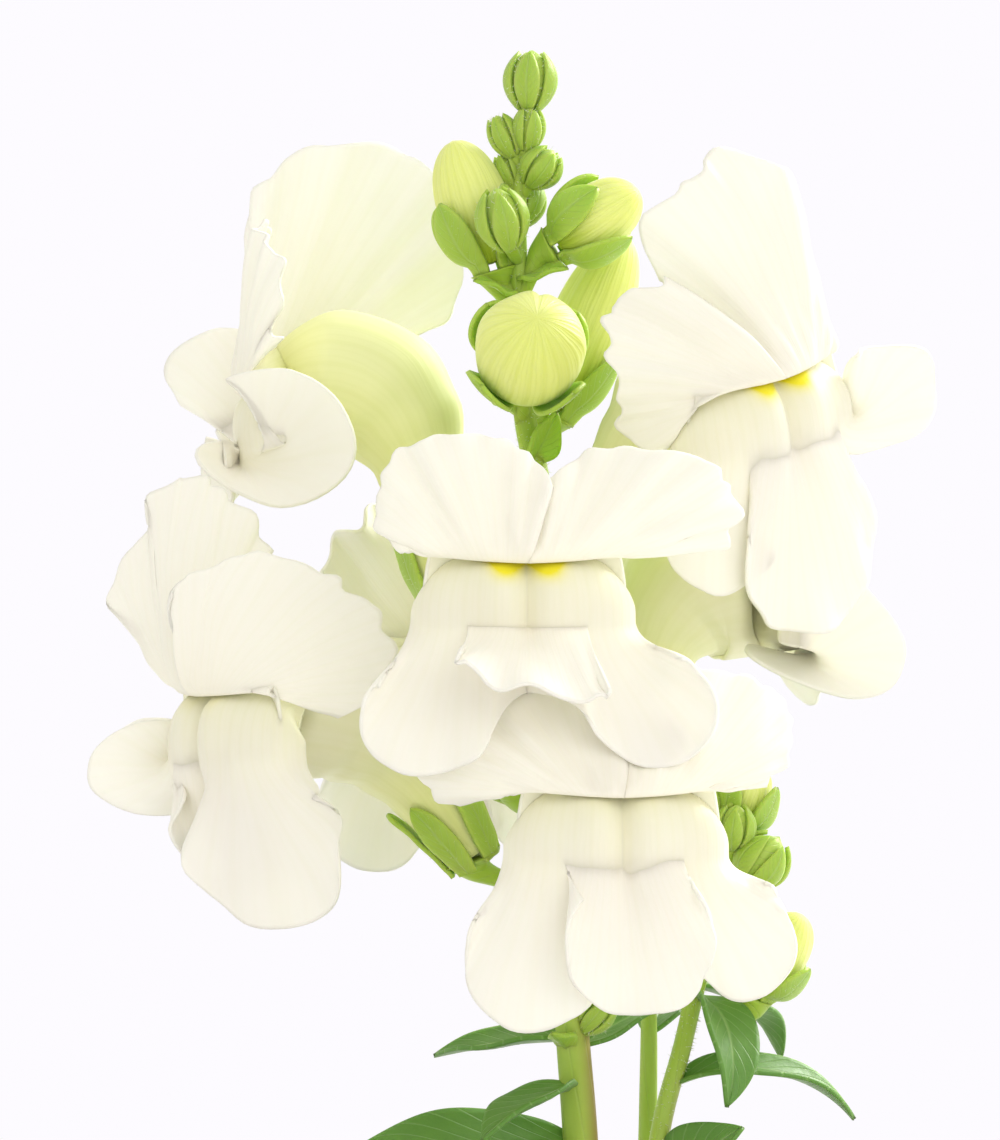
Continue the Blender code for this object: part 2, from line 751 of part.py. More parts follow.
# Green buds at the tip of the stalk: middle, half height, radius, lean
TIP_BUDS = (
    ((-5.4, 0.0, 239.4), 3.0, 2.3, (0.05, 0.0, 1.0)),
    ((-5.6, -0.8, 235.0), 2.1, 1.35, (0.1, -0.2, 1.0)),
    ((-7.7, -0.2, 234.4), 2.2, 1.3, (-0.45, 0.0, 1.0)),
    ((-4.5, -0.6, 231.5), 2.1, 1.8, (0.6, -0.2, 0.8)),
    ((-7.4, 0.4, 231.3), 1.8, 1.0, (-0.4, 0.0, 1.0)),
    ((-8.0, -5.4, 226.6), 3.1, 2.3, (-0.2, -0.35, 1.0)),
    ((-6.0, 2.4, 228.6), 2.6, 1.9, (0.1, 0.6, 1.0)),
    ((0.6, -0.9, 154.6), 2.2, 1.4, (0.8, -0.3, 0.9)),
)

# Large buds: the foot of the corolla, its tip, its radius, the seat of its stalk and the sepals' length
LARGE_BUDS = {
    "bud_left": ((-8.9, 0.0, 222.8), (-12.5, -0.4, 234.0), 3.2, (-6.6, 0.0, 217.5), 6.6),
    "bud_front": ((-6.0, -4.0, 212.6), (-4.9, -13.5, 217.4), 4.7, (-6.1, 0.0, 208.5), 5.0),
    "bud_right": ((-2.9, -1.0, 224.6), (4.4, -2.4, 229.4), 3.0, (-6.5, 0.0, 219.5), 6.2),
    "bud_back": ((-3.3, 3.6, 209.6), (3.4, 5.6, 225.6), 3.4, (-5.6, 0.4, 204.5), 6.2),
}
SHOOT_BUDS = {
    "shoot_bud_opening": ((15.2, 2.4, 156.6), (19.4, 1.4, 163.6), 2.6, (10.9, 3.0, 160.8), 4.6),
    "shoot_bud_upper": ((13.6, 4.4, 171.4), (15.4, 5.0, 177.6), 2.1, (12.6, 3.3, 166.5), 4.4),
}
SHOOT_TIP_BUDS = (
    ((13.2, 1.4, 171.6), 2.2, 1.8, (0.1, -0.3, 1.0)),
    ((15.6, 2.6, 168.4), 2.9, 2.6, (0.6, -0.2, 0.8)),
    ((11.2, 3.6, 173.4), 2.2, 1.1, (-0.1, 0.1, 1.0)),
)


def build_bud(name, foot, tip, radius, finish):
    ring = bud_body(Vector(foot), Vector(tip), radius)
    thing = skin(name, lambda u, v: body_point(u, v, ring), 9, 7)
    return fuse(name, [thing], finish)


def bud_cup(foot, tip, radius, seat, length):
    foot, tip = Vector(foot), Vector(tip)
    ring = bud_body(foot, tip, radius)
    return cup_of(ring, seat, length / (tip - foot).length, count=4, phase=0.7, half_angle=0.62)


def tip_bud(middle, half_height, radius, lean, stem):
    """A small green bud wrapped in its sepals, on a short stalk from the stem."""
    middle = Vector(middle)
    lean = Vector(lean).normalized()
    side = lean.orthogonal().normalized()
    top = side.cross(lean)

    def place(u, v):
        girth = radius * sin(pi * v) ** 0.7 if 0.0 < v < 1.0 else 0.0
        turn = 2.0 * pi * u
        ridge = 1.0 + 0.10 * cos(4.0 * turn)
        around = side * cos(turn) + top * sin(turn)
        return middle + lean * (half_height * (2.0 * v - 1.0)) + around * (girth * ridge)

    pieces = [skin("small_bud", place, 8, 4)]
    foot = middle - lean * half_height * 0.7
    seat = stem_at(stem, foot.z - 1.6)
    pieces.append(rod("small_stalk", [(*seat, 0.5), (*(foot + lean), 0.8)], 6))
    return pieces


def low_leaves(stations, lowest, step, headings):
    """Leaves up a stem, one for each heading, shorter towards its top."""
    pieces = []
    for index, heading in enumerate(headings):
        share = index / max(len(headings) - 1, 1)
        root = stem_at(stations, lowest + step * index)
        along = (cos(radians(heading)), sin(radians(heading)), 0.42)
        pieces.append(
            blade("leaf", root, along, (0.0, 0.0, 1.0), LOW_LEAF_LENGTH * mix(1.0, 0.75, share),
                  LOW_LEAF_WIDTH * mix(1.0, 0.85, share), arch=50.0, phase=heading)
        )
    return pieces


def placed_leaves(leaves, thickness=LEAF_THICKNESS):
    pieces = []
    for index, (root, along, face, length, width, arch) in enumerate(leaves):
        rows = 4 if length > 8.0 else 2
        leaf = blade(
            "leaf", root, along, face, length, width, arch,
            phase=index, rows=rows, thickness=thickness,
        )
        pieces.append(leaf)
    return pieces


def build_main_stem(finish):
    pieces = [rod("main_stem", MAIN_STEM, 9)]
    for floret in FLORETS.values():
        ring = floret_body(floret)
        seat = stem_at(MAIN_STEM, floret["foot"][2] - 5.0)
        pieces += cup_of(ring, seat, 0.26)
    for foot, tip, radius, seat, length in LARGE_BUDS.values():
        pieces += bud_cup(foot, tip, radius, seat, length)
    for middle, half_height, radius, lean in TIP_BUDS:
        pieces += tip_bud(middle, half_height, radius, lean, MAIN_STEM)
    pieces += placed_leaves(MAIN_LEAVES)
    pieces += low_leaves(MAIN_STEM, 96.0, 6.0, (228.0, 352.0, 205.0, 262.0, 348.0, 225.0, 200.0))
    return fuse("main_stem", pieces, finish)


def build_right_shoot(finish):
    pieces = [rod("right_shoot", RIGHT_SHOOT, 8)]
    for foot, tip, radius, seat, length in SHOOT_BUDS.values():
        pieces += bud_cup(foot, tip, radius, seat, length)
    for middle, half_height, radius, lean in SHOOT_TIP_BUDS:
        pieces += tip_bud(middle, half_height, radius, lean, RIGHT_SHOOT)
    pieces += placed_leaves(RIGHT_LEAVES)
    pieces += low_leaves(RIGHT_SHOOT, 100.0, 9.0, (18.0, 50.0, 12.0))
    return fuse("right_shoot", pieces, finish)


def build_leafy_shoot(name, stations, leaves, lowest, step, headings, finish):
    pieces = [rod(name, stations, 7)] + placed_leaves(leaves)
    pieces += low_leaves(stations, lowest, step, headings)
    return fuse(name, pieces, finish)


def turned(name, outline, sides):
    """A solid of revolution about Z from a closed outline of (radius, height), both in millimetres."""
    mesh = bpy.data.meshes.new(name)
    shape = bmesh.new()
    verts = [shape.verts.new((radius * MM, 0.0, height * MM)) for radius, height in outline]
    edges = [shape.edges.new((verts[i - 1], verts[i])) for i in range(len(verts))]
    bmesh.ops.spin(
        shape, geom=verts + edges, cent=(0.0, 0.0, 0.0), axis=(0.0, 0.0, 1.0), angle=2.0 * pi,
        steps=sides, use_merge=True, use_duplicate=False,
    )
    bmesh.ops.remove_doubles(shape, verts=shape.verts, dist=0.001 * MM)
    bmesh.ops.recalc_face_normals(shape, faces=shape.faces)
    shape.to_mesh(mesh)
    shape.free()
    thing = bpy.data.objects.new(name, mesh)
    bpy.context.scene.collection.objects.link(thing)
    return thing


def wall_radius(height):
    """The pot's outer radius below its rim band."""
    return mix(POT_FOOT_RADIUS, POT_RIM_RADIUS - RIM_STEP, height / POT_HEIGHT)


def build_pot(finish):
    band = POT_HEIGHT - RIM_BAND
    floor = POT_WALL + 1.0
    outline = (
        (DRAIN_RADIUS, 0.0),
        (POT_FOOT_RADIUS - 1.0, 0.0),
        (POT_FOOT_RADIUS, 1.0),
        (wall_radius(band), band),
        (POT_RIM_RADIUS - 0.6, band + 0.4),
        (POT_RIM_RADIUS, band + 1.4),
        (POT_RIM_RADIUS, POT_HEIGHT - 1.2),
        (POT_RIM_RADIUS - 1.2, POT_HEIGHT),
        (wall_radius(POT_HEIGHT) - POT_WALL + 0.8, POT_HEIGHT),
        (wall_radius(POT_HEIGHT) - POT_WALL, POT_HEIGHT - 0.8),
        (wall_radius(floor) - POT_WALL, floor),
        (DRAIN_RADIUS, floor),
    )
    pot = turned("pot", outline, POT_SIDES)
    pot.data.materials.append(finish)
    pot.data.shade_smooth()
    pot.data.set_sharp_from_angle(angle=radians(30.0))
    return pot


def build_soil(finish):
    """The filling: a little uneven on top, with a plain hole for each stem."""
    floor = POT_WALL + 1.0 + SOIL_GAP
    inner = POT_WALL + SOIL_GAP
    outline = (
        (0.0, floor),
        (wall_radius(floor) - inner, floor),
        (wall_radius(SOIL_TOP) - inner, SOIL_TOP - 1.0),
        (wall_radius(SOIL_TOP) - inner - 8.0, SOIL_TOP - 0.5),
        (wall_radius(SOIL_TOP) - inner - 20.0, SOIL_TOP),
        (0.0, SOIL_TOP),
    )
    soil = turned("soil", outline, 24)
    holes = []
    for stations in SHOOTS:
        x, y, low, radius = stations[0]
        hole = rod("hole", [(x, y, low - 0.4, radius + 0.45), (x, y, SOIL_TOP + 4.0, radius + 0.5)], 10)
        holes.append(hole)
    bpy.context.view_layer.update()
    for hole in holes:
        cut = soil.modifiers.new("Stem hole", "BOOLEAN")
        cut.operation = "DIFFERENCE"
        cut.object = hole
        cut.solver = "MANIFOLD"
    baked(soil)
    for hole in holes:
        bpy.data.objects.remove(hole)
    soil.data.materials.clear()
    soil.data.materials.append(finish)
    soil.data.shade_smooth()
    soil.data.set_sharp_from_angle(angle=radians(30.0))
    return soil


def main():
    clear_scene()
    clay = finish_of("clay", POT_CLAY, 0.8)
    earth = finish_of("soil", SOIL_BROWN, 0.95)
    green = finish_of("stem green", STEM_GREEN, 0.55)
    leaf = finish_of("leaf green", LEAF_GREEN, 0.5)
    white = finish_of("petal white", PETAL_WHITE, 0.6)
    yellow = finish_of("bud yellow", BUD_YELLOW, 0.5)
    build_pot(clay)
    build_soil(earth)
    build_main_stem(green)
    build_right_shoot(green)
    build_leafy_shoot("back_shoot", BACK_SHOOT, BACK_LEAVES, 98.0, 8.0, (112.0, 72.0, 130.0, 88.0), leaf)
    left_headings = (190.0, 132.0, 168.0, 215.0, 110.0, 165.0)
    build_leafy_shoot("left_shoot", LEFT_SHOOT, (), 97.0, 6.0, left_headings, leaf)
    build_leafy_shoot("front_shoot", FRONT_SHOOT, (), 97.0, 6.0, (-88.0, -28.0, -60.0, -110.0, -40.0), leaf)
    for name, (foot, tip, radius, _, _) in (*LARGE_BUDS.items(), *SHOOT_BUDS.items()):
        build_bud(name, foot, tip, radius, yellow)
    for name, floret in FLORETS.items():
        build_floret(name, floret, white)


main()
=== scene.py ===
"""Looks of a white snapdragon in a plain clay pot.

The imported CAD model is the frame. Every piece below replaces one of its nodes, or is set on one, in
the same place and at the same size. Shapes are worked out in millimetres, and MM turns them into metres.
"""

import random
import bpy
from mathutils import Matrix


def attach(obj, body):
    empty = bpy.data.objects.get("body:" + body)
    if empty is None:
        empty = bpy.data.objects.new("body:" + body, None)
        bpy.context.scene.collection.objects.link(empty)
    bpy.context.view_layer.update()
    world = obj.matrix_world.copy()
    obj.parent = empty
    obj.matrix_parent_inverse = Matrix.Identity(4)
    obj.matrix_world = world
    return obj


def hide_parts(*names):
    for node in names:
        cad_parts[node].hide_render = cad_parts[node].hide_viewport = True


bl_info = {
    "name": "Potted Snapdragon",
    "version": (1, 0, 0),
    "blender": (4, 5, 0),
    "location": "View3D > Sidebar > Snapdragon",
    "description": "Models the flowers, buds, leaves, soil and pot of a potted white snapdragon",
    "category": "Add Mesh",
}

from math import cos, exp, pi, radians, sin, sqrt

import bmesh
import bpy
from bpy.props import FloatProperty, FloatVectorProperty, IntProperty, PointerProperty
from mathutils import Euler, Matrix, Vector, noise

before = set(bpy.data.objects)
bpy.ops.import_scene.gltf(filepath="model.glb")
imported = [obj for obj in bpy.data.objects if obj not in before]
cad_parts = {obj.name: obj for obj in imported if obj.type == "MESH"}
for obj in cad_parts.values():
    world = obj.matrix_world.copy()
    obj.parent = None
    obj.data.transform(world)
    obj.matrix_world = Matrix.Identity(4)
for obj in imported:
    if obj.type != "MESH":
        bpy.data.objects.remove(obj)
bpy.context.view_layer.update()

MM = 0.001
UV_NAME = "lobe"
TONE_NAME = "tone"

# Pot and soil, as in the frame
POT_RIM_RADIUS = 52.5
POT_FOOT_RADIUS = 37.0
POT_HEIGHT = 95.0
POT_WALL = 4.0
RIM_BAND = 18.0
RIM_STEP = 2.5
DRAIN_RADIUS = 6.0
SOIL_TOP = 87.0
SOIL_GAP = 0.3
STEM_DEPTH = 14.0

# An open floret in its own frame: the middle of its mouth is the origin, and it faces -Y
PALATE_HALF_WIDTH = 9.6
PALATE_DEPTH = 6.0
PALATE_MIDDLE = -4.2
PALATE_HALF_HEIGHT = 5.6
PALATE_SPREAD = 89.5
PALATE_BACK_DIP = 110.0
PALATE_FOOT_DIP = -10.0
GROOVE_DEPTH = 1.1
GROOVE_WIDTH = 0.8
KNOB_HEIGHT = 1.0
KNOB_ASIDE = 2.6
KNOB_WIDTH = 1.9
FOLD_HALF_WIDTH = 8.2
FOLD_FORWARD = 5.6
FOLD_HEIGHT = 0.4

# An upper lobe that stands splayed: its root, and its make
SPLAYED_ROOT = (3.7, -4.3, 0.0)
SPLAYED_ROOT_WIDTH = 9.5
SPLAYED_RUFFLE = 0.9
SPLAYED_WAVES = 2.5
SPLAYED_CUP = -0.6

# The tube's radii from its foot to its mouth, and the share of its path that it takes up
TUBE_RADII = (2.1, 2.8, 3.3, 4.1, 5.5, 6.7, 7.0)
TUBE_BODY = 0.84

# The throat's sheet: the tube's share of it, the hood's half angle, and the cheeks' share of the rest
TUBE_SHARE = 0.6
HOOD_HALF_ANGLE = 104.0
CHEEK_SHARE = 0.35

# The lower lip's sheet: the palate's share of it, and the notch between a side lobe and the middle one,
# as its share of the side lobe's rim and how far forward it lies
CREASE = 0.5
SINUS_SHARE = 0.22
SINUS_FORWARD = 3.0

# Columns and rows of a floret's sheets
THROAT_GRID = (84, 60)
BIB_GRID = (110, 64)
LOBE_GRID = (64, 46)

# How far sepals stand off the corolla that they hold, at their foot and at their tip
SEPAL_GAP = 0.8
SEPAL_FLARE = 0.9
CUP_GAP = 0.35

# A calyx: its reach as a share of the corolla's length, its sepals, their phase and their half angle
FLORET_CUP = (0.26, 5, 0.3, 0.5)
BUD_CUP = (4, 0.7, 0.62)

# Hairs: their radius, and how many stand on the stalk, the shoot, each tip bud and each sepal
HAIR_RADIUS = 0.04
STALK_HAIRS = 900
SHOOT_HAIRS = 500
BUD_HAIRS = 130
SEPAL_HAIRS = 34

# Leaves low on the stems
LOW_LEAF_LENGTH = 24.0
LOW_LEAF_WIDTH = 7.5
LOW_LEAF_ARCH = 50.0

# Every leaf: its fold along the midrib, its wave, where it is widest, and its stalk's half width
LEAF_FOLD = 0.35
LEAF_WAVE = 0.3
LEAF_WIDEST = 0.8
LEAF_STALK = 0.5

# Columns and rows of a leaf and of a bract, and the length up to which it counts as a bract
LEAF_GRID = (14, 34)
BRACT_GRID = (10, 16)
BRACT_LENGTH = 8.0

# A green piece's finishes, by their place in its list: the stem's comes first
SEPAL, LEAF = 1, 2

# The camera looks level along +Y; the photograph shows 11 pixels for each millimetre at Y = 0
PHOTO_HEIGHT = 1140
PIXELS_PER_MM = 11.0
CAMERA_X = -0.00818
CAMERA_Z = 0.195
CAMERA_DISTANCE = 0.6
SENSOR = 36.0

# The lights' places and sizes in metres, and what they aim at
LIGHT_TARGET = (0.0, 0.0, 0.19)
KEY_PLACE = (0.42, 0.34, 0.58)
KEY_SIZE = 0.35
FILL_PLACE = (0.35, -0.75, 0.55)
FILL_SIZE = 0.6
FILL_SHARE = 0.25


def mix(a, b, share):
    return a + (b - a) * share


def rise(low, high, value):
    """0 below low, 1 above high, smooth between."""
    share = min(max((value - low) / (high - low), 0.0), 1.0)
    return share * share * (3.0 - 2.0 * share)


def power(value, exponent):
    """value's size to a power, with value's sign."""
    return abs(value) ** exponent * (1.0 if value >= 0.0 else -1.0)


def ring_point(middle, across, upward, radius, turn):
    """The point of a ring at a turn from across towards upward."""
    return middle + across * (cos(turn) * radius) + upward * (sin(turn) * radius)


def bump(value, middle, width):
    """1 at middle, falling smoothly to both sides."""
    return exp(-(((value - middle) / width) ** 2))


def bezier(a, b, c, d, share):
    """A point of the curve from a to d with the handles b and c."""
    rest = 1.0 - share
    return a * rest**3 + b * 3 * rest**2 * share + c * 3 * rest * share**2 + d * share**3


def hermite(a, leave, b, arrive, share):
    """A smooth path from a to b that leaves and arrives along the given directions."""
    two, three = share * share, share**3
    return (
        a * (2.0 * three - 3.0 * two + 1.0)
        + leave * (three - 2.0 * two + share)
        + b * (3.0 * two - 2.0 * three)
        + arrive * (three - two)
    )


# Sizes and colours that a user would change


def colour_of(name, description, default):
    """A colour's setting."""
    return FloatVectorProperty(
        name=name, description=description, default=default, subtype="COLOR", size=3, min=0.0, max=1.0,
    )


def thin_length(name, description, default, low, high):
    """A small length's setting, in metres."""
    return FloatProperty(
        name=name, description=description, default=default, min=low, max=high, unit="LENGTH", precision=5,
    )


class FlowerSettings(bpy.types.PropertyGroup):
    petal_thickness: thin_length("Petal Thickness", "Thickness of a petal's wall", 0.00034, 0.0001, 0.001)
    petal_white: colour_of("Petal White", "Colour of a petal's rim", (0.95, 0.93, 0.85))
    # This colour is partly the petal's own warm tone and partly painted shade, laid thickest towards each
    # petal's root and hollows.
    petal_cream_shade: colour_of("Petal Cream Shade", "Warmer white in a petal's hollows", (0.935, 0.88, 0.73))
    tube_green: colour_of("Tube Green", "Yellow green of the tube and the throat", (0.88, 0.94, 0.40))
    palate_yellow: colour_of("Palate Yellow", "Yellow of the two marks on the palate", (0.98, 0.86, 0.02))
    bud_green: colour_of("Bud Green", "Green at a closed bud's foot", (0.48, 0.63, 0.04))
    bud_yellow: colour_of("Bud Yellow", "Yellow green of a closed bud's cheeks", (0.80, 0.87, 0.24))


class LeafSettings(bpy.types.PropertyGroup):
    leaf_thickness: thin_length("Leaf Thickness", "Thickness of a leaf or sepal", 0.0004, 0.0001, 0.001)
    hair_length: thin_length("Hair Length", "Length of the hairs on the young parts", 0.0006, 0.0, 0.002)
    stem_green: colour_of("Stem Green", "Green of the stems", (0.37, 0.55, 0.03))
    sepal_green: colour_of("Sepal Green", "Green of the sepals and bracts", (0.27, 0.47, 0.015))
    leaf_green: colour_of("Leaf Green", "Green of the grown leaves", (0.075, 0.20, 0.035))
    seed: IntProperty(name="Seed", description="Seed of the hairs and crumbs", default=7, min=0)


class PotSettings(bpy.types.PropertyGroup):
    clay: colour_of("Clay", "Colour of the fired clay", (0.50, 0.215, 0.115))
    soil: colour_of("Soil", "Colour of the damp potting soil", (0.045, 0.028, 0.018))
    crumbs: IntProperty(name="Crumbs", description="Number of loose crumbs", default=420, min=0)


class StageSettings(bpy.types.PropertyGroup):
    floor_radius: FloatProperty(
        name="Floor Radius", description="Radius of the floor",
        default=1.1, min=0.5, max=5.0, unit="LENGTH",
    )
    backdrop: colour_of("Backdrop", "Colour behind the plant", (0.982, 0.965, 1.0))
    sky: FloatProperty(
        name="Soft Light", description="Strength of the light from all round",
        default=0.89, min=0.0, max=5.0,
    )
    key: FloatProperty(
        name="Key Light", description="Power of the light behind and to the right",
        default=5.0, min=0.0, max=100.0, unit="POWER",
    )


# Materials


def add_node(tree, kind, inputs=None, **settings):
    """A new node with its settings, and with values or links for its inputs."""
    made = tree.nodes.new(kind)
    for name, value in settings.items():
        setattr(made, name, value)
    for key, value in (inputs or {}).items():
        if isinstance(value, bpy.types.NodeSocket):
            tree.links.new(value, made.inputs[key])
        else:
            made.inputs[key].default_value = value
    return made


def calculate(tree, operation, first, second=0.0, clamp=False):
    """The result of one step of arithmetic on sockets or numbers."""
    return add_node(tree, "ShaderNodeMath", {0: first, 1: second}, operation=operation,
                    use_clamp=clamp).outputs[0]


def blend_colour(tree, share, first, second, blend_type="MIX"):
    """The colour at a share of the way from the first to the second."""
    made = add_node(tree, "ShaderNodeMix", {0: share, 6: first, 7: second},
                    data_type="RGBA", blend_type=blend_type, clamp_factor=True)
    return made.outputs[2]


def new_group(name, colours, numbers, results):
    """An empty node group with its sockets, its inputs as a user gives them, and its output node."""
    tree = bpy.data.node_groups.new(name, "ShaderNodeTree")
    for way, sockets in (("INPUT", colours + numbers), ("OUTPUT", results)):
        for socket in sockets:
            kind = "NodeSocketColor" if socket in colours or socket == "Colour" else "NodeSocketFloat"
            tree.interface.new_socket(name=socket, in_out=way, socket_type=kind)
    return tree, tree.nodes.new("NodeGroupInput").outputs, tree.nodes.new("NodeGroupOutput")


def finish_group(tree, out, **values):
    """Links the results of a node group to its output."""
    for name, value in values.items():
        tree.links.new(value, out.inputs[name])
    return tree


def texture_cloud(tree, place, scale, detail, **more):
    """Soft noise at a place, from 0 to 1."""
    inputs = {"Vector": place, "Scale": scale, "Detail": detail, **more}
    return add_node(tree, "ShaderNodeTexNoise", inputs).outputs["Fac"]


def fade(tree, value, near, far, start, end, smooth="LINEAR"):
    """Maps a value from one range to another and stays within it."""
    return add_node(
        tree, "ShaderNodeMapRange", {0: value, 1: near, 2: far, 3: start, 4: end},
        interpolation_type=smooth,
    ).outputs[0]


def tone_channels(tree):
    """The three channels of the piece's own tone attribute."""
    tone = add_node(tree, "ShaderNodeAttribute", attribute_name=TONE_NAME, attribute_type="GEOMETRY")
    return add_node(tree, "ShaderNodeSeparateColor", {0: tone.outputs["Color"]}).outputs


def uv_channels(tree):
    """Across and along a petal or leaf, both from 0 to 1."""
    chart = add_node(tree, "ShaderNodeUVMap", uv_map=UV_NAME)
    return add_node(tree, "ShaderNodeSeparateXYZ", {0: chart.outputs[0]}).outputs


def vein_lines(tree, chart, lines, wander, sharp):
    """Thin lines that run along a petal, as a mask: `lines` sets how many lie side by side."""
    along = calculate(tree, "MULTIPLY", chart[1], 0.3)
    spread = add_node(tree, "ShaderNodeCombineXYZ", {0: chart[0], 1: along})
    bands = add_node(
        tree, "ShaderNodeTexWave",
        {"Vector": spread.outputs[0], "Scale": lines * 0.314, "Distortion": wander, "Detail": 2.0,
         "Detail Scale": 0.6, "Detail Roughness": 0.5},
        wave_type="BANDS", bands_direction="X", wave_profile="SIN",
    )
    return calculate(tree, "POWER", bands.outputs["Fac"], sharp)


def petal_group():
    """Colour and relief of a petal: Cream as painted shade in the hollows, partly its own warm tone; green
    throat, yellow marks, fine veins.
    """
    tree, given, out = new_group(
        "petal surface", ("White", "Cream", "Throat", "Yellow"), ("Vein Strength",), ("Colour", "Height"),
    )
    tone = tone_channels(tree)
    chart = uv_channels(tree)
    place = add_node(tree, "ShaderNodeTexCoord").outputs["Object"]
    cloud = texture_cloud(tree, place, 110.0, 3.0)
    # Painted shade: the Cream colour is mottled in most towards a petal's root and hollows, where it is
    # partly the petal's own warm tone.
    shade_share = calculate(tree, "MULTIPLY", cloud, calculate(tree, "SUBTRACT", 1.25, tone[2]))
    colour = blend_colour(tree, shade_share, given["White"], given["Cream"])
    colour = blend_colour(tree, tone[1], colour, given["Throat"])
    wide = vein_lines(tree, chart, lines=21.0, wander=2.6, sharp=5.0)
    fine = vein_lines(tree, chart, lines=58.0, wander=5.0, sharp=3.0)
    veins = calculate(tree, "ADD", wide, calculate(tree, "MULTIPLY", fine, 0.45), clamp=True)
    shown = calculate(tree, "MULTIPLY", veins, given["Vein Strength"])
    shown = calculate(tree, "MULTIPLY", shown, calculate(tree, "ADD", 0.55, tone[1]))
    dark = blend_colour(tree, 1.0, colour, (0.86, 0.88, 0.62, 1.0), "MULTIPLY")
    colour = blend_colour(tree, shown, colour, dark)
    ragged = calculate(tree, "ADD", tone[0], calculate(tree, "MULTIPLY", cloud, 0.2))
    mark = calculate(tree, "MULTIPLY", tone[0], ragged, clamp=True)
    colour = blend_colour(tree, mark, colour, given["Yellow"])
    cells = texture_cloud(tree, place, 2600.0, 2.0)
    relief = calculate(tree, "ADD", calculate(tree, "MULTIPLY", cells, 0.25), veins)
    return finish_group(tree, out, Colour=colour, Height=relief)


def leaf_group():
    """Colour and relief of a leaf or sepal: a pale midrib, side veins and a mottled blade."""
    tree, given, out = new_group(
        "leaf surface", ("Green", "Young Green", "Rib"), ("Rib Width",), ("Colour", "Height", "Gloss"),
    )
    tone = tone_channels(tree)
    chart = uv_channels(tree)
    place = add_node(tree, "ShaderNodeTexCoord").outputs["Object"]
    mottle = texture_cloud(tree, place, 320.0, 4.0)
    aside = calculate(tree, "ABSOLUTE", calculate(tree, "SUBTRACT", chart[0], 0.5))
    rib = fade(tree, aside, 0.0, given["Rib Width"], 1.0, 0.0, "SMOOTHSTEP")
    slant = calculate(tree, "SUBTRACT", calculate(tree, "MULTIPLY", chart[1], 8.0),
                      calculate(tree, "MULTIPLY", aside, 5.0))
    away = calculate(tree, "ABSOLUTE", calculate(tree, "SUBTRACT", calculate(tree, "FRACT", slant), 0.5))
    side_veins = fade(tree, away, 0.0, 0.09, 0.55, 0.0, "SMOOTHSTEP")
    veins = calculate(tree, "MAXIMUM", rib, side_veins)
    shade = calculate(tree, "MULTIPLY", mottle, 0.55)
    colour = blend_colour(tree, shade, given["Green"], given["Young Green"])
    colour = blend_colour(tree, tone[1], colour, given["Young Green"])
    colour = blend_colour(tree, calculate(tree, "MULTIPLY", veins, 0.5), colour, given["Rib"])
    colour = blend_colour(tree, tone[0], colour, (0.30, 0.07, 0.05, 1.0))
    cells = texture_cloud(tree, place, 1700.0, 3.0)
    relief = calculate(tree, "SUBTRACT", calculate(tree, "MULTIPLY", cells, 0.5), veins)
    gloss = calculate(tree, "ADD", 0.36, calculate(tree, "MULTIPLY", cells, 0.22))
    return finish_group(tree, out, Colour=colour, Height=relief, Gloss=gloss)


def grain_group():
    """Uneven colour and relief of a rough mass: coarse clouds and a fine grain."""
    tree, given, out = new_group(
        "grain", ("Light", "Dark"), ("Coarse Scale", "Fine Scale"), ("Colour", "Height", "Gloss"),
    )
    place = add_node(tree, "ShaderNodeTexCoord").outputs["Object"]
    coarse = texture_cloud(tree, place, given["Coarse Scale"], 5.0, Roughness=0.6)
    fine = texture_cloud(tree, place, given["Fine Scale"], 4.0, Roughness=0.7)
    both = calculate(
        tree, "ADD", calculate(tree, "MULTIPLY", coarse, 0.6), calculate(tree, "MULTIPLY", fine, 0.4),
    )
    spread = fade(tree, both, 0.35, 0.65, 0.0, 1.0)
    colour = blend_colour(tree, spread, given["Dark"], given["Light"])
    gloss = calculate(tree, "ADD", 0.72, calculate(tree, "MULTIPLY", fine, 0.25))
    return finish_group(tree, out, Colour=colour, Height=both, Gloss=gloss)


GROUP_MAKERS = {"petal surface": petal_group, "leaf surface": leaf_group, "grain": grain_group}


def surface_group(name):
    return bpy.data.node_groups.get(name) or GROUP_MAKERS[name]()


def opaque(colour):
    return (*colour, 1.0)


def dressed_finish(name, group, values, relief, relief_depth, settings):
    """A Principled finish whose colour and relief come from a surface group."""
    finish = bpy.data.materials.get(name)
    if finish:
        return finish
    finish = bpy.data.materials.new(name)
    finish.use_nodes = True
    tree = finish.node_tree
    shader = tree.nodes["Principled BSDF"]
    surface = add_node(tree, "ShaderNodeGroup", node_tree=surface_group(group))
    for key, value in values.items():
        surface.inputs[key].default_value = value
    tree.links.new(surface.outputs["Colour"], shader.inputs["Base Color"])
    if "Gloss" in surface.outputs:
        tree.links.new(surface.outputs["Gloss"], shader.inputs["Roughness"])
    made = add_node(
        tree, "ShaderNodeBump",
        {"Height": surface.outputs["Height"], "Strength": relief, "Distance": relief_depth},
    )
    tree.links.new(made.outputs["Normal"], shader.inputs["Normal"])
    for key, value in settings.items():
        shader.inputs[key].default_value = value
    return finish


def petal_finish():
    flower = bpy.context.scene.snapdragon_flower
    return dressed_finish(
        "white petal", "petal surface",
        {
            "White": opaque(flower.petal_white), "Cream": opaque(flower.petal_cream_shade),
            "Throat": opaque(flower.tube_green), "Yellow": opaque(flower.palate_yellow),
            "Vein Strength": 0.13,
        },
        0.12, 0.0001,
        {
            "Roughness": 0.55, "Subsurface Weight": 0.3, "Subsurface Radius": (0.85, 1.0, 0.9),
            "Subsurface Scale": 0.0012, "Sheen Weight": 0.15, "Specular IOR Level": 0.25,
        },
    )


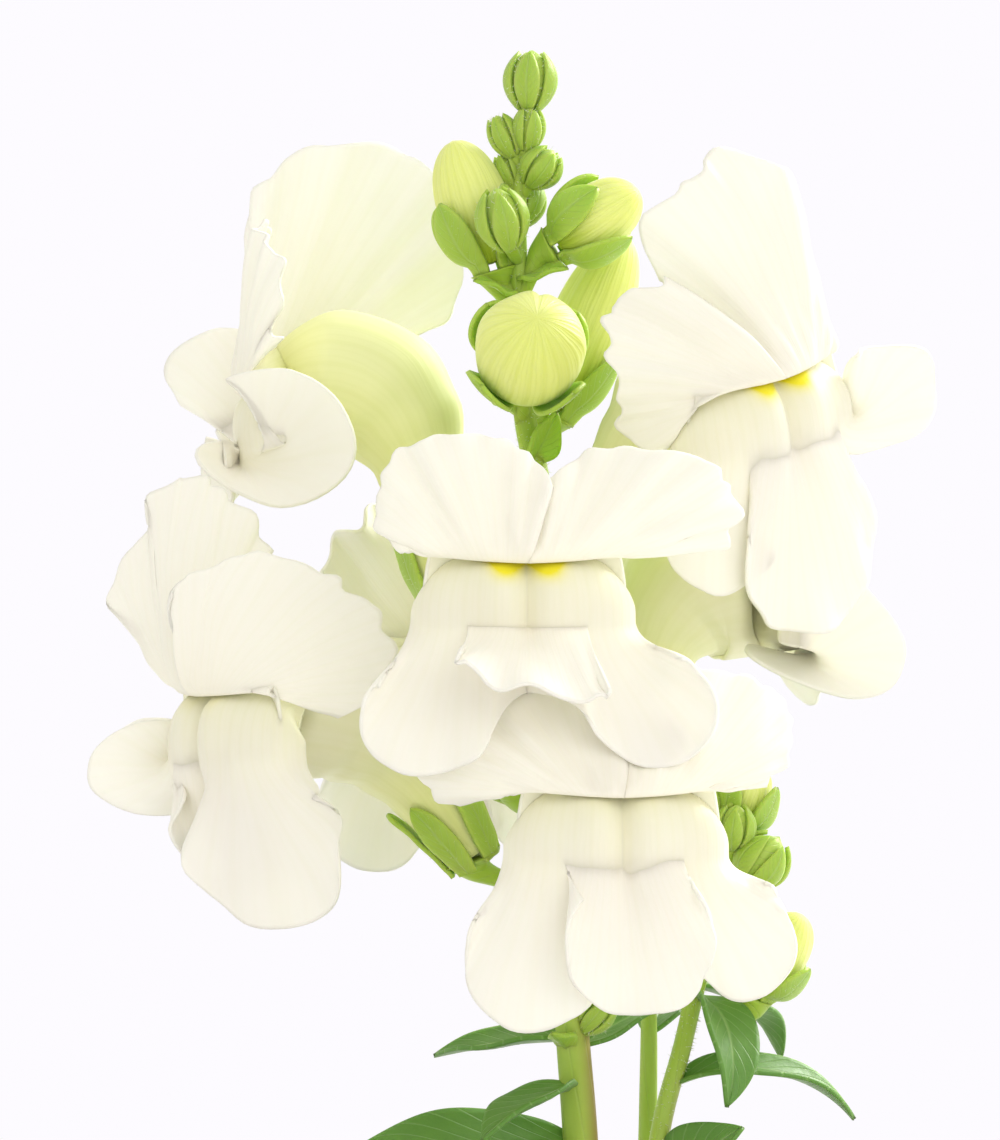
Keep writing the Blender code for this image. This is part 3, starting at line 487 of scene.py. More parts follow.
def bud_finish():
    flower = bpy.context.scene.snapdragon_flower
    return dressed_finish(
        "closed bud", "petal surface",
        {
            "White": opaque(flower.bud_yellow), "Cream": (0.90, 0.92, 0.42, 1.0),
            "Throat": opaque(flower.bud_green), "Yellow": (0.92, 0.92, 0.62, 1.0),
            "Vein Strength": 0.7,
        },
        0.45, 0.00012,
        {
            "Roughness": 0.48, "Subsurface Weight": 0.5, "Subsurface Radius": (1.0, 1.0, 0.3),
            "Subsurface Scale": 0.002, "Sheen Weight": 0.2, "Specular IOR Level": 0.4,
        },
    )


def green_finish(name, green, young, rib, rib_width, glow):
    return dressed_finish(
        name, "leaf surface",
        {
            "Green": opaque(green), "Young Green": opaque(young), "Rib": opaque(rib),
            "Rib Width": rib_width,
        },
        0.5, 0.00015,
        {
            "Subsurface Weight": glow, "Subsurface Radius": (0.6, 1.0, 0.15),
            "Subsurface Scale": 0.0015, "Specular IOR Level": 0.45, "Sheen Weight": 0.1,
        },
    )


def stem_finish():
    green = bpy.context.scene.snapdragon_leaf.stem_green
    return green_finish("stem", green, (0.44, 0.60, 0.12), (0.40, 0.55, 0.12), 0.04, 0.25)


def sepal_finish():
    green = bpy.context.scene.snapdragon_leaf.sepal_green
    return green_finish("sepal", green, (0.46, 0.62, 0.10), (0.42, 0.58, 0.16), 0.07, 0.35)


def leaf_finish():
    green = bpy.context.scene.snapdragon_leaf.leaf_green
    return green_finish("leaf", green, (0.19, 0.38, 0.05), (0.36, 0.52, 0.20), 0.06, 0.25)


def grain_finish(name, light, dark, coarse, fine, relief, depth, settings):
    values = {"Light": opaque(light), "Dark": opaque(dark), "Coarse Scale": coarse, "Fine Scale": fine}
    return dressed_finish(name, "grain", values, relief, depth, settings)


def plain_finish(name, colour, relief, settings):
    """A finish with a faint fine grain and one colour."""
    light, dark = [tuple(min(channel * part, 1.0) for channel in colour) for part in (1.04, 0.95)]
    return grain_finish(name, light, dark, 30.0, 700.0, relief, 0.0001, settings)


def clay_finish():
    clay = bpy.context.scene.snapdragon_pot.clay
    dark = tuple(channel * 0.72 for channel in clay)
    settings = {"Specular IOR Level": 0.25}
    return grain_finish("fired clay", clay, dark, 28.0, 900.0, 0.5, 0.0003, settings)


def soil_finish():
    soil = bpy.context.scene.snapdragon_pot.soil
    light = tuple(channel * 2.1 for channel in soil)
    settings = {"Specular IOR Level": 0.3}
    return grain_finish("potting soil", light, soil, 260.0, 1500.0, 0.9, 0.0006, settings)


# Meshes


def new_shape():
    """An empty mesh in the making, with its chart and its tone."""
    shape = bmesh.new()
    shape.loops.layers.uv.new(UV_NAME)
    shape.verts.layers.float_color.new(TONE_NAME)
    return shape


def no_tone(u, v):
    return (0.0, 0.0, v)


def lay(shape, place, columns, rows, tone=no_tone, finish_index=0):
    """Adds a grid placed by place(u, v) in millimetres, with its chart and its tone."""
    chart = shape.loops.layers.uv[UV_NAME]
    tint = shape.verts.layers.float_color[TONE_NAME]
    made = bmesh.ops.create_grid(shape, x_segments=columns, y_segments=rows, size=0.5)
    flat = {vert: (vert.co.x + 0.5, vert.co.y + 0.5) for vert in made["verts"]}
    for face in {face for vert in flat for face in vert.link_faces}:
        face.material_index = finish_index
        face.smooth = True
        for loop in face.loops:
            loop[chart].uv = flat[loop.vert]
    for vert, (u, v) in flat.items():
        vert.co = Vector(place(u, v)) * MM
        vert[tint] = (*tone(u, v), 1.0)


def close_seams(shape):
    """Merges the seams and poles of closed grids and turns the faces outwards."""
    bmesh.ops.remove_doubles(shape, verts=shape.verts, dist=0.0004 * MM)
    bmesh.ops.dissolve_degenerate(shape, edges=shape.edges, dist=0.00001 * MM)
    bmesh.ops.recalc_face_normals(shape, faces=shape.faces)


def object_of(name, shape, finishes):
    """A new object with the shape's mesh and its finishes."""
    mesh = bpy.data.meshes.new(name)
    shape.to_mesh(mesh)
    shape.free()
    for finish in finishes:
        mesh.materials.append(finish)
    thing = bpy.data.objects.new(name, mesh)
    bpy.context.scene.collection.objects.link(thing)
    return thing


def piece_of(name, bodies, sheets, thickness, finishes):
    """One object from closed bodies and from thin sheets that get a wall; either may be None."""
    if bodies is not None:
        close_seams(bodies)
    if sheets is not None:
        close_seams(sheets)
        thin = object_of(name, sheets, finishes)
        wall = thin.modifiers.new("Wall", "SOLIDIFY")
        wall.thickness = thickness
        wall.offset = 0.0
        graph = bpy.context.evaluated_depsgraph_get()
        mesh = bpy.data.meshes.new_from_object(thin.evaluated_get(graph))
        bpy.data.objects.remove(thin)
        bodies = bodies or bmesh.new()
        bodies.from_mesh(mesh)
    return object_of(name, bodies, finishes)


def declare(piece, slot, *nodes):
    """Hangs a piece on the root body and hides the nodes of the frame that it replaces; the slot is not
    used.
    """
    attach(piece, "root")
    if nodes:
        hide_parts(*nodes)


# An open floret's petals


def rounded(u, v):
    """The unit square's far corners rounded off: u from -1 to 1 across, v from 0 to 1 along."""
    return u * (1.0 - 0.42 * v * v) ** 0.5, v * (1.0 - 0.42 * u * u) ** 0.5


def crumple(s, t, phase):
    """Soft uneven swelling over a petal, in millimetres."""
    spot = Vector((s * 1.5, t * 1.7, phase * 3.1))
    return noise.noise(spot) * 0.9 + noise.noise(spot * 2.7) * 0.3


def rim_frill(s, t, phase):
    """Small quick waves that grow towards a petal's rim, in millimetres."""
    spot = Vector((s * 3.4, t * 1.2, phase * 1.7 + 4.0))
    return t**3 * (0.5 * sin(8.0 * s + phase * 2.0 + 1.5 * sin(4.0 * s)) + 1.1 * noise.noise(spot * 1.2))


def rim_nick(s, t, phase):
    """How far a petal's rim is drawn in or out at s, as a share of its length."""
    spot = Vector((s * 3.6, phase * 2.3, 1.0))
    return t**3 * (0.055 * noise.noise(spot) + 0.008 * noise.noise(spot * 2.6))


def arc(travelled, turn):
    """How far ahead and how far aside a bent line ends, from its length and its turn in all."""
    if abs(turn) < 1e-6:
        return travelled, 0.0
    return travelled * sin(turn) / turn, travelled * (1.0 - cos(turn)) / turn


def splayed_point(s, t, lobe, side):
    """A point of an upper lobe that stands up from its root, splayed outwards and leaning back."""
    turn = Matrix.Rotation(radians(-lobe["lean"]), 3, "X") @ Matrix.Rotation(radians(lobe["splay"]), 3, "Y")
    along = turn @ Vector((0.0, 0.0, 1.0))
    face = turn @ Vector((0.0, -1.0, 0.0))
    across = along.cross(face).normalized()
    phase = lobe["phase"]
    out, reach = rounded(s, t)
    edge = 1.0 - 0.05 * sin(SPLAYED_WAVES * 1.7 * s + phase) * t * t + rim_nick(s, t, phase)
    half = mix(SPLAYED_ROOT_WIDTH, lobe["width"], rise(-0.15, 0.75, reach)) / 2.0
    bent = radians(lobe["bend"]) * reach
    ahead, lift = arc(lobe["length"] * reach * edge, bent)
    normal = face * cos(bent) - along * sin(bent)
    relief = SPLAYED_RUFFLE * reach**2 * sin(SPLAYED_WAVES * out * pi + phase)
    relief += SPLAYED_CUP * out * out * reach
    relief += crumple(out, reach, phase) * reach + rim_frill(out, reach, phase)
    root = Vector((side * SPLAYED_ROOT[0], *SPLAYED_ROOT[1:]))
    return root + along * ahead + face * lift + across * (out * half) + normal * relief


# The make of the lower lip's lobes where their floret doesn't set it
SIDE_LOBE = {
    "x": 8.7, "z": -14.5, "half_width": 5.8, "half_height": 6.3, "forward": 4.0, "bow": 1.2,
    "curl": -2.0, "phase": 0.0, "roll": 0.0, "swing": 0.0, "tilt": 0.0, "from": -195.0, "to": 45.0,
    "sinus": -11.0,
}

MIDDLE_LOBE = {
    "x": 0.4, "z": -12.6, "half_width": 6.2, "half_height": 5.6, "forward": 6.0,
    "phase": 0.5, "swing": 0.0, "tilt": 0.0, "from": -222.0, "to": 42.0, "start": 0.93, "swell": 1.4,
    "ruffle": 0.5, "waves": 2.4,
}


def palate_point(s, share):
    """The palate's hump, from its back over its top and front to its underside."""
    spread = radians(PALATE_SPREAD) * s
    dip = radians(mix(PALATE_BACK_DIP, PALATE_FOOT_DIP, share))
    hump = PALATE_DEPTH * power(cos(dip), 0.8) * cos(spread) ** 0.7
    narrowed = 1.0 - 0.2 * max(sin(dip), 0.0) ** 2
    x = PALATE_HALF_WIDTH * sin(spread) / sin(radians(PALATE_SPREAD)) * narrowed
    z = PALATE_MIDDLE + PALATE_HALF_HEIGHT * power(sin(dip), 0.9) * cos(spread) ** 0.3
    groove = exp(-((x / GROOVE_WIDTH) ** 2)) * GROOVE_DEPTH
    knob = KNOB_HEIGHT * bump(abs(x), KNOB_ASIDE, KNOB_WIDTH) * (0.35 + 0.65 * bump(share, 0.55, 0.3))
    forward = hump + (knob - groove) * max(cos(dip), 0.0)
    return Vector((x, -forward, z))


def oval_point(lobe, turn, rim):
    """A point of a lobe's rim: how far outwards, forwards and up it lies from the floret's middle."""
    wide = lobe["half_width"] * power(cos(turn), 0.9) * rim
    high = lobe["half_height"] * power(sin(turn), 0.9) * rim
    tilt, swing = radians(lobe["tilt"]), radians(lobe["swing"])
    aside = wide * cos(tilt) - high * sin(tilt)
    return (
        lobe["x"] + aside * cos(swing),
        lobe["forward"] + aside * sin(swing),
        lobe["z"] + wide * sin(tilt) + high * cos(tilt),
    )


def side_rim(outer, side):
    """A point of a side lobe's rim, from beside the middle lobe round to the palate's cheek."""
    phase = side["phase"]
    turn = radians(mix(side["from"], side["to"], rise(0.0, 1.0, outer)))
    rim = 1.0 + 0.04 * sin(9.0 * outer + phase) + rim_nick(2.0 * outer, 1.0, phase) * 1.6
    x, forward, z = oval_point(side, turn, rim)
    sinus = rise(0.0, SINUS_SHARE, outer)
    forward = mix(SINUS_FORWARD, forward + side["curl"] * rise(0.45, 1.0, outer), sinus)
    return mix(0.0, x, sinus), forward, mix(side["sinus"], z, sinus)


def bib_point(s, t, sides):
    """The lower lip: the palate's hump, which flows on into the two side lobes."""
    if t <= CREASE:
        return palate_point(s, t / CREASE)
    side = sides["left"] if s < 0.0 else sides["right"]
    outer = min(abs(s), 1.0)
    reach = (t - CREASE) / (1.0 - CREASE)
    x, forward, z = side_rim(outer, side)
    start = palate_point(s, 1.0)
    leave = (start - palate_point(s, 0.95)).normalized() * 7.0
    end = Vector((x if s >= 0.0 else -x, -forward, z))
    arrive = (end - start) * 0.9 - Vector((0.0, side["bow"] + side["roll"], 0.0))
    point = hermite(start, leave, end, arrive, reach)
    phase = side["phase"]
    ripple = 0.6 * sin(7.0 * outer + phase) * reach**2
    ripple += crumple(2.0 * outer, reach, phase) * reach + rim_frill(2.0 * outer, reach, phase)
    return point - Vector((0.0, ripple, 0.0))


# Each open floret: the middle of its mouth, its turn about Z (0 faces the front), its nod and its roll
# in degrees, the foot of its tube, and its lobes. A floret's own left is the viewer's left from its front.
FLORETS = {
    "floret_top_left": {
        "mouth": (-26.1, 6.0, 211.5), "turn": -100.0, "nod": 6.0, "roll": 0.0,
        "foot": (-12.6, 3.0, 192.0),
        "upper_left": {
            "x": 9.0, "z": 12.4, "half_width": 10.2, "half_height": 10.6, "from": 205.0, "to": -40.0,
            "forward": -4.0, "swing": -80.0, "bow": -6.0, "roll": 0.0, "ruffle": 0.8, "phase": 0.4,
        },
        "upper_right": {
            "x": 5.0, "z": 9.0, "half_width": 5.5, "half_height": 6.2, "forward": 1.5, "swing": -20.0,
            "roll": 2.0, "phase": 2.0,
        },
        "left": {
            "x": 9.0, "z": 3.4, "half_width": 5.2, "half_height": 3.6, "forward": 9.5, "swing": -80.0,
            "from": -60.0, "to": -300.0, "curl": 0.0, "sinus": -6.0,
        },
        "right": {
            "x": 10.6, "z": -4.4, "half_width": 7.3, "half_height": 6.2, "forward": 1.2, "swing": -80.0,
            "tilt": 8.0, "curl": 0.0, "from": -215.0, "to": 104.0, "sinus": -6.0,
        },
        "middle": {
            "x": 1.0, "z": -6.5, "half_width": 5.6, "half_height": 4.4, "forward": 8.5, "swing": -20.0,
        },
    },
    "floret_mid_left": {
        "mouth": (-30.2, -12.0, 183.6), "turn": -58.0, "nod": 0.0, "roll": 0.0,
        "foot": (-11.0, -3.5, 169.5),
        "upper_left": {
            "x": 6.5, "z": 11.0, "half_width": 6.0, "half_height": 8.7, "forward": 2.0, "swing": 50.0,
            "roll": 3.0, "ruffle": 0.9, "waves": 3.0, "phase": 1.4,
        },
        "upper_right": {
            "x": 6.5, "z": 5.2, "half_width": 10.2, "half_height": 7.2, "forward": 1.2, "swing": -50.0,
            "tilt": -12.0, "roll": 4.0, "phase": 0.2,
        },
        "left": {
            "sinus": -9.5, "x": 9.0, "z": -6.4, "half_width": 6.4, "half_height": 4.2, "forward": 4.6,
            "swing": 58.0, "from": -150.0, "to": 110.0, "curl": 0.0,
        },
        "right": {
            "sinus": -9.5, "x": 6.8, "z": -13.4, "half_width": 7.4, "half_height": 6.6, "forward": 2.5,
            "swing": -45.0, "curl": 0.0,
        },
        "middle": {
            "x": 3.0, "z": -12.6, "half_width": 5.0, "half_height": 5.2, "forward": 3.6, "swing": -40.0,
            "phase": 1.3,
        },
    },
    "floret_front_upper": {
        "mouth": (-6.2, -27.0, 195.4), "turn": 4.0, "nod": 0.0, "roll": 0.0,
        "foot": (-4.3, -4.5, 184.5),
        "upper_left": {
            "x": 5.4, "z": 5.6, "half_width": 7.5, "half_height": 5.7, "from": 170.0, "to": -45.0,
            "forward": 4.5, "curl": -1.5, "phase": 0.9,
        },
        "upper_right": {
            "x": 9.8, "z": 4.9, "half_width": 8.6, "half_height": 5.2, "from": 170.0, "to": -45.0,
            "forward": 3.5, "curl": -1.0, "phase": 2.2,
        },
        "left": {
            "x": 9.0, "z": -13.6, "half_width": 5.4, "half_height": 4.4, "forward": 9.0, "roll": 1.0,
        },
        "right": {
            "x": 10.6, "z": -12.4, "half_width": 5.2, "half_height": 4.8, "forward": 9.0, "to": 70.0,
            "roll": 1.5, "curl": 1.0,
        },
        "middle": {
            "x": -0.2, "z": -9.4, "half_width": 6.6, "half_height": 1.2, "forward": 14.0, "tilt": -14.0,
            "from": -190.0, "to": 10.0, "swell": 4.0, "start": 0.97, "phase": 0.8, "waves": 3.5,
        },
    },
    "floret_front_lower": {
        "mouth": (1.8, -29.0, 175.3), "turn": 6.0, "nod": 0.0, "roll": 0.0, "foot": (-2.3, -4.5, 163.0),
        "upper_left": {
            "x": 8.4, "z": 4.3, "half_width": 9.4, "half_height": 5.4, "from": 165.0, "to": -60.0,
            "forward": 1.0, "curl": -2.0, "phase": 1.7,
        },
        "upper_right": {
            "x": 8.2, "z": 5.4, "half_width": 7.2, "half_height": 5.6, "from": 170.0, "to": -50.0,
            "forward": 0.5, "curl": -1.0, "phase": 0.1,
        },
        "left": {"x": 7.6, "z": -14.2, "half_width": 5.6, "half_height": 5.9, "forward": 3.6},
        "right": {
            "x": 10.4, "z": -11.9, "half_width": 4.6, "half_height": 5.4, "forward": 4.0, "tilt": 12.0,
        },
        "middle": {"x": 1.2, "z": -12.6, "half_width": 6.4, "half_height": 5.8, "forward": 7.0},
    },
    "floret_top_right": {
        "mouth": (13.6, -12.0, 212.0), "turn": 36.0, "nod": 3.0, "roll": -15.0,
        "foot": (-0.8, -3.0, 197.0),
        "upper_left": {
            "x": 7.0, "z": 2.6, "half_width": 6.4, "half_height": 8.0, "from": 100.0, "to": -62.0,
            "forward": -0.5, "swing": -15.0, "ruffle": 0.7, "phase": 2.4,
        },
        "upper_right": {
            "x": 2.2, "z": 11.0, "half_width": 6.9, "half_height": 9.0, "from": 185.0, "to": -78.0,
            "forward": -1.5, "swing": 20.0, "ruffle": 0.8, "waves": 3.0, "phase": 0.7,
        },
        "left": {
            "sinus": -9.5, "x": 8.0, "z": -12.0, "half_width": 5.0, "half_height": 5.5, "forward": 3.0,
        },
        "right": {
            "sinus": -9.5, "x": 11.0, "z": -4.4, "half_width": 6.0, "half_height": 4.8, "forward": 4.5,
            "swing": 20.0, "from": -150.0, "to": 110.0, "curl": 0.0,
        },
        "middle": {
            "x": 0.5, "z": -15.5, "half_width": 7.6, "half_height": 7.4, "forward": 4.6, "phase": 1.1,
        },
    },
    "floret_low_right": {
        "mouth": (14.5, 8.0, 193.5), "turn": 104.0, "nod": 0.0, "roll": 0.0, "foot": (3.5, 3.0, 178.0),
        "upper_left": {
            "splay": -30.0, "lean": 24.0, "length": 14.0, "width": 15.0, "bend": -30.0, "phase": 0.6,
        },
        "upper_right": {
            "splay": 30.0, "lean": 20.0, "length": 15.0, "width": 16.0, "bend": -30.0, "phase": 1.9,
        },
        "left": {
            "sinus": -7.0, "x": 9.0, "z": -4.2, "half_width": 8.4, "half_height": 5.6, "forward": 4.5,
            "swing": 88.0, "tilt": -22.0, "from": -160.0, "to": 120.0, "curl": 0.0,
        },
        "right": {
            "sinus": -7.0, "x": 9.5, "z": -6.5, "half_width": 5.5, "half_height": 4.5, "forward": 10.0,
        },
        "middle": {"x": 1.0, "z": -6.0, "half_width": 6.0, "half_height": 3.4, "forward": 12.5},
    },
    "floret_back": {
        "mouth": (-10.5, 22.5, 187.5), "turn": -165.0, "nod": 0.0, "roll": 0.0,
        "foot": (-6.5, 5.0, 175.5),
        "upper_left": {
            "splay": -34.0, "lean": 10.0, "length": 16.0, "width": 16.0, "bend": -40.0, "phase": 2.6,
        },
        "upper_right": {
            "splay": 40.0, "lean": 10.0, "length": 17.0, "width": 16.0, "bend": -40.0, "phase": 0.3,
        },
        "left": {},
        "right": {},
        "middle": {},
    },
}


# How strong the yellow marks are, and how green the hood is, floret by floret
MARKS = {
    "floret_top_left": (0.3, 0.75),
    "floret_mid_left": (0.35, 0.25),
    "floret_front_upper": (1.0, 0.25),
    "floret_front_lower": (0.18, 0.15),
    "floret_top_right": (1.0, 0.25),
    "floret_low_right": (0.3, 0.3),
    "floret_back": (0.4, 0.3),
}


def floret_frame(floret):
    """Where a floret's own frame stands in the plant's frame, in millimetres."""
    turn = Euler((radians(floret["nod"]), radians(floret["roll"]), radians(floret["turn"])), "XYZ")
    return Matrix.Translation(floret["mouth"]) @ turn.to_matrix().to_4x4()


def tube_ends(floret):
    """The four control points of the tube's middle line, in the plant's frame."""
    place = floret_frame(floret)
    foot = Vector(floret["foot"])
    mouth = place @ Vector((0.0, 3.4, 0.0))
    back = (place.to_3x3() @ Vector((0.0, 1.0, -0.15))).normalized()
    span = (mouth - foot).length
    start = ((mouth - foot).normalized() + Vector((0.0, 0.0, 0.55))).normalized()
    return foot, foot + start * span * 0.35, mouth + back * span * 0.38, mouth


def floret_body(floret):
    """The tube as rings: ring(v) gives its middle, its two directions across and its radius."""
    place = floret_frame(floret)
    side = place.to_3x3() @ Vector((1.0, 0.0, 0.0))
    ends = tube_ends(floret)
    start = (ends[1] - ends[0]).normalized()
    span = (ends[3] - ends[0]).length

    def ring(v):
        share = min(max(v / TUBE_BODY, 0.0), 1.0)
        middle = bezier(*ends, share)
        ahead = (bezier(*ends, min(share + 0.02, 1.0)) - bezier(*ends, max(share - 0.02, 0.0))).normalized()
        upward = side.cross(ahead).normalized()
        upward = -upward if upward.z < 0.0 else upward
        across = ahead.cross(upward).normalized()
        where = share * (len(TUBE_RADII) - 1)
        index = min(int(where), len(TUBE_RADII) - 2)
        radius = mix(TUBE_RADII[index], TUBE_RADII[index + 1], rise(0.0, 1.0, where - index))
        if v < 0.0:
            middle = middle + start * span * v
        return middle, across, upward, radius

    return ring


def tube_point(u, v, ring, phase):
    """A point of the tube, which has a shallow fold along its back and along its belly."""
    middle, across, upward, radius = ring(v)
    turn = 2.0 * pi * u
    fold = 1.0 - 0.07 * v * (bump(abs(turn - 0.5 * pi), 0.0, 0.16) + bump(abs(turn - 1.5 * pi), 0.0, 0.22))
    fold += 0.02 * noise.noise(Vector((3.0 * cos(turn), 3.0 * sin(turn), 4.0 * v + phase)))
    return ring_point(middle, across, upward, radius * fold, turn)


def fold_point(u):
    """The upper lip's lower edge, above the palate."""
    aside = 2.0 * u - 1.0
    return Vector((FOLD_HALF_WIDTH * aside, 3.0 * aside**2 - FOLD_FORWARD, FOLD_HEIGHT + 0.7 * aside**2))


def throat_end(turn):
    """Where the throat ends at a turn from its top, in the floret's frame, and how it arrives there."""
    if abs(turn) <= HOOD_HALF_ANGLE:
        crown = max(cos(radians(turn)), 0.0)
        return fold_point(0.5 + 0.5 * turn / HOOD_HALF_ANGLE), Vector((0.0, -2.0, -9.0 * crown))
    side = 1.0 if turn > 0.0 else -1.0
    low = (abs(turn) - HOOD_HALF_ANGLE) / (180.0 - HOOD_HALF_ANGLE)
    foot = palate_point(side * (1.0 - low), 1.0) + Vector((0.0, 0.5, 0.0))
    cheek = rise(0.0, CHEEK_SHARE, low)
    return fold_point(0.5 + 0.5 * side).lerp(foot, cheek), Vector((0.0, -2.0 - low, low))


def throat_point(u, v, ring, phase, place):
    """The tube, which opens at its front into the hood above and the belly under the palate."""
    if v <= TUBE_SHARE:
        return Vector(tube_point(u, TUBE_BODY * v / TUBE_SHARE, ring, phase))
    onward = (v - TUBE_SHARE) / (1.0 - TUBE_SHARE)
    back = place.inverted()
    rim = back @ Vector(tube_point(u, TUBE_BODY, ring, phase))
    before = back @ Vector(tube_point(u, TUBE_BODY * 0.97, ring, phase))
    turn = ((0.75 - u) % 1.0 - 0.5) * 360.0
    end, arrive = throat_end(turn)
    point = hermite(rim, (rim - before).normalized() * 9.0, end, arrive, onward)
    furrow = 1.8 * onward * (1.0 - onward) * bump(radians(turn), 0.0, 0.2)
    return place @ (point - Vector((0.0, 0.0, furrow)))


def fan_point(s, t, lobe, side):
    """A point of an upper lobe whose rim is part of an oval."""
    inner = 0.5 + 0.5 * s * -side
    base = fold_point(0.5 + side * 0.25 + 0.25 * s)
    turn = radians(mix(lobe["to"], lobe["from"], inner))
    phase = lobe["phase"]
    rim = 1.0 + rim_nick(2.0 * s, 1.0, phase) * 1.8 + 0.02 * sin(7.0 * s + phase)
    x, forward, z = oval_point(lobe, turn, rim)
    end = Vector((side * x, -forward - lobe["curl"] * (1.0 - inner), z))
    facing = radians(lobe["swing"])
    front = Vector((side * sin(facing), -cos(facing), 0.0))
    leave = Vector((0.0, -5.0, -2.0)) + front * lobe["bow"]
    arrive = (end - base) * 0.9 - front * lobe["roll"]
    point = hermite(base, leave, end, arrive, t)
    relief = lobe["ruffle"] * t**2 * sin(lobe["waves"] * s * pi + phase)
    relief += crumple(1.6 * s, t, phase) * rise(0.0, 0.5, t) + rim_frill(1.6 * s, t, phase)
    return point + (front - Vector((0.0, 0.0, 0.25))) * relief


def upper_point(s, t, lobe, side):
    """A point of one upper lobe, which grows out of the fold."""
    if "half_width" in lobe:
        return fan_point(s, t, lobe, side)
    base = fold_point(0.5 + side * 0.25 + 0.25 * s)
    return base.lerp(splayed_point(s, t, lobe, side), rise(-0.05, 0.5, t))


def middle_point(s, t, lobe):
    """A point of the lower lip's middle lobe, an oval that swells out of the palate's foot."""
    base = palate_point(s * 0.36, lobe["start"]) + Vector((0.0, 0.4, 0.0))
    leave = palate_point(s * 0.36, lobe["start"]) - palate_point(s * 0.36, lobe["start"] - 0.05)
    leave = leave.normalized() * 5.0 - Vector((0.0, lobe["swell"], 0.0))
    turn = radians(mix(lobe["from"], lobe["to"], 0.5 + 0.5 * s))
    phase = lobe["phase"]
    rim = 1.0 + rim_nick(1.4 * s, 1.0, phase) * 1.2 + 0.02 * sin(8.0 * s + phase)
    x, forward, z = oval_point(lobe, turn, rim)
    end = Vector((x, -forward, z))
    point = hermite(base, leave, end, (end - base) * 0.9, t)
    relief = lobe["ruffle"] * t**2 * sin(lobe["waves"] * s * pi + phase)
    relief += crumple(s, t, phase) * t + rim_frill(s, t, phase)
    slope = rise(4.0, 12.0, lobe["forward"])
    return point + Vector((0.0, -1.0 + 0.8 * slope, 0.55 * slope)) * relief


# An upper lobe's make where its floret doesn't set it
FAN_DEFAULTS = {
    "from": 170.0, "to": -45.0, "tilt": 0.0, "swing": 0.0, "forward": 3.0, "curl": 0.0, "roll": 5.0,
    "bow": 0.0, "ruffle": 0.5, "waves": 2.0, "phase": 0.0,
}


def bib_tone(u, v, strength):
    """Yellow in two wedges beside the groove, a tint of green over the palate."""
    s = u * 2.0 - 1.0
    wedge = bump(abs(s), 0.13, 0.12) * (1.0 - rise(0.25, 0.40, v))
    band = 0.8 * bump(s, 0.0, 0.33) * (1.0 - rise(0.22, 0.30, v))
    green = 0.34 * (1.0 - rise(0.15, 0.75, v))
    return strength * min(wedge * 1.5 + band, 1.0), green, rise(0.45, 1.0, v)


def floret_mesh(floret, mark, hood_green):
    """All the sheets of one open floret."""
    place = floret_frame(floret)
    sides = {
        "left": {**SIDE_LOBE, "phase": 0.4, **floret["left"]},
        "right": {**SIDE_LOBE, "phase": 1.9, **floret["right"]},
    }
    left = {**FAN_DEFAULTS, **floret["upper_left"]}
    right = {**FAN_DEFAULTS, **floret["upper_right"]}
    middle = {**MIDDLE_LOBE, **floret["middle"]}
    lobes = (
        lambda s, t: upper_point(s, t, left, -1.0),
        lambda s, t: upper_point(s, t, right, 1.0),
        lambda s, t: middle_point(s, t, middle),
    )
    ring = floret_body(floret)
    phase = floret["turn"]
    shape = new_shape()

    # A tone's third channel is the reach from root to rim; the petal surface paints shade in its Cream
    # colour where it is low, in the tube, throat and palate.
    def throat_tone(u, v):
        along = min(v / TUBE_SHARE, 1.0)
        ahead = max(v - TUBE_SHARE, 0.0) / (1.0 - TUBE_SHARE)
        green = mix(0.95, hood_green, rise(0.1, 0.95, along)) * (1.0 - 0.85 * rise(0.3, 1.0, ahead))
        return 0.0, min(green + 0.1, 1.0), 0.2 + 0.4 * ahead

    def lobe_tone(u, v):
        return 0.0, 0.14 * hood_green * (1.0 - rise(0.0, 0.45, v)), v

    lay(shape, lambda u, v: throat_point(u, v, ring, phase, place), *THROAT_GRID, throat_tone)
    lay(shape, lambda u, v: place @ bib_point(u * 2.0 - 1.0, v, sides), *BIB_GRID,
        lambda u, v: bib_tone(u, v, mark))
    for lobe in lobes:
        lay(shape, lambda u, v: place @ lobe(u * 2.0 - 1.0, v), *LOBE_GRID, lobe_tone)
    return shape


class SNAPDRAGON_OT_florets(bpy.types.Operator):
    """Model the open florets: tube, hood, palate and five ruffled lobes each"""

    bl_idname = "snapdragon.florets"
    bl_label = "Open Florets"
    bl_options = {"REGISTER", "UNDO"}

    def execute(self, context):
        thickness = context.scene.snapdragon_flower.petal_thickness
        for name, floret in FLORETS.items():
            shape = floret_mesh(floret, *MARKS[name])
            piece = piece_of(name + "_petals", None, shape, thickness, [petal_finish()])
            declare(piece, "petal", name)
        return {"FINISHED"}


# Stems, leaves and sepals


def catmull(a, b, c, d, share):
    """A point between b and c on the smooth line through all four."""
    return 0.5 * (
        2.0 * b
        + (c - a) * share
        + (2.0 * a - 5.0 * b + 4.0 * c - d) * share**2
        + (3.0 * b - a - 3.0 * c + d) * share**3
    )


def smooth_line(stations, share):
    """Middle and radius at a share of the way along a line of (x, y, z, radius) stations."""
    last = len(stations) - 1
    where = min(max(share, 0.0), 1.0) * last
    index = min(int(where), last - 1)
    near = [Vector(stations[min(max(index + step, 0), last)]) for step in (-1, 0, 1, 2)]
    point = catmull(*near, where - index)
    return Vector(point[:3]), point[3]


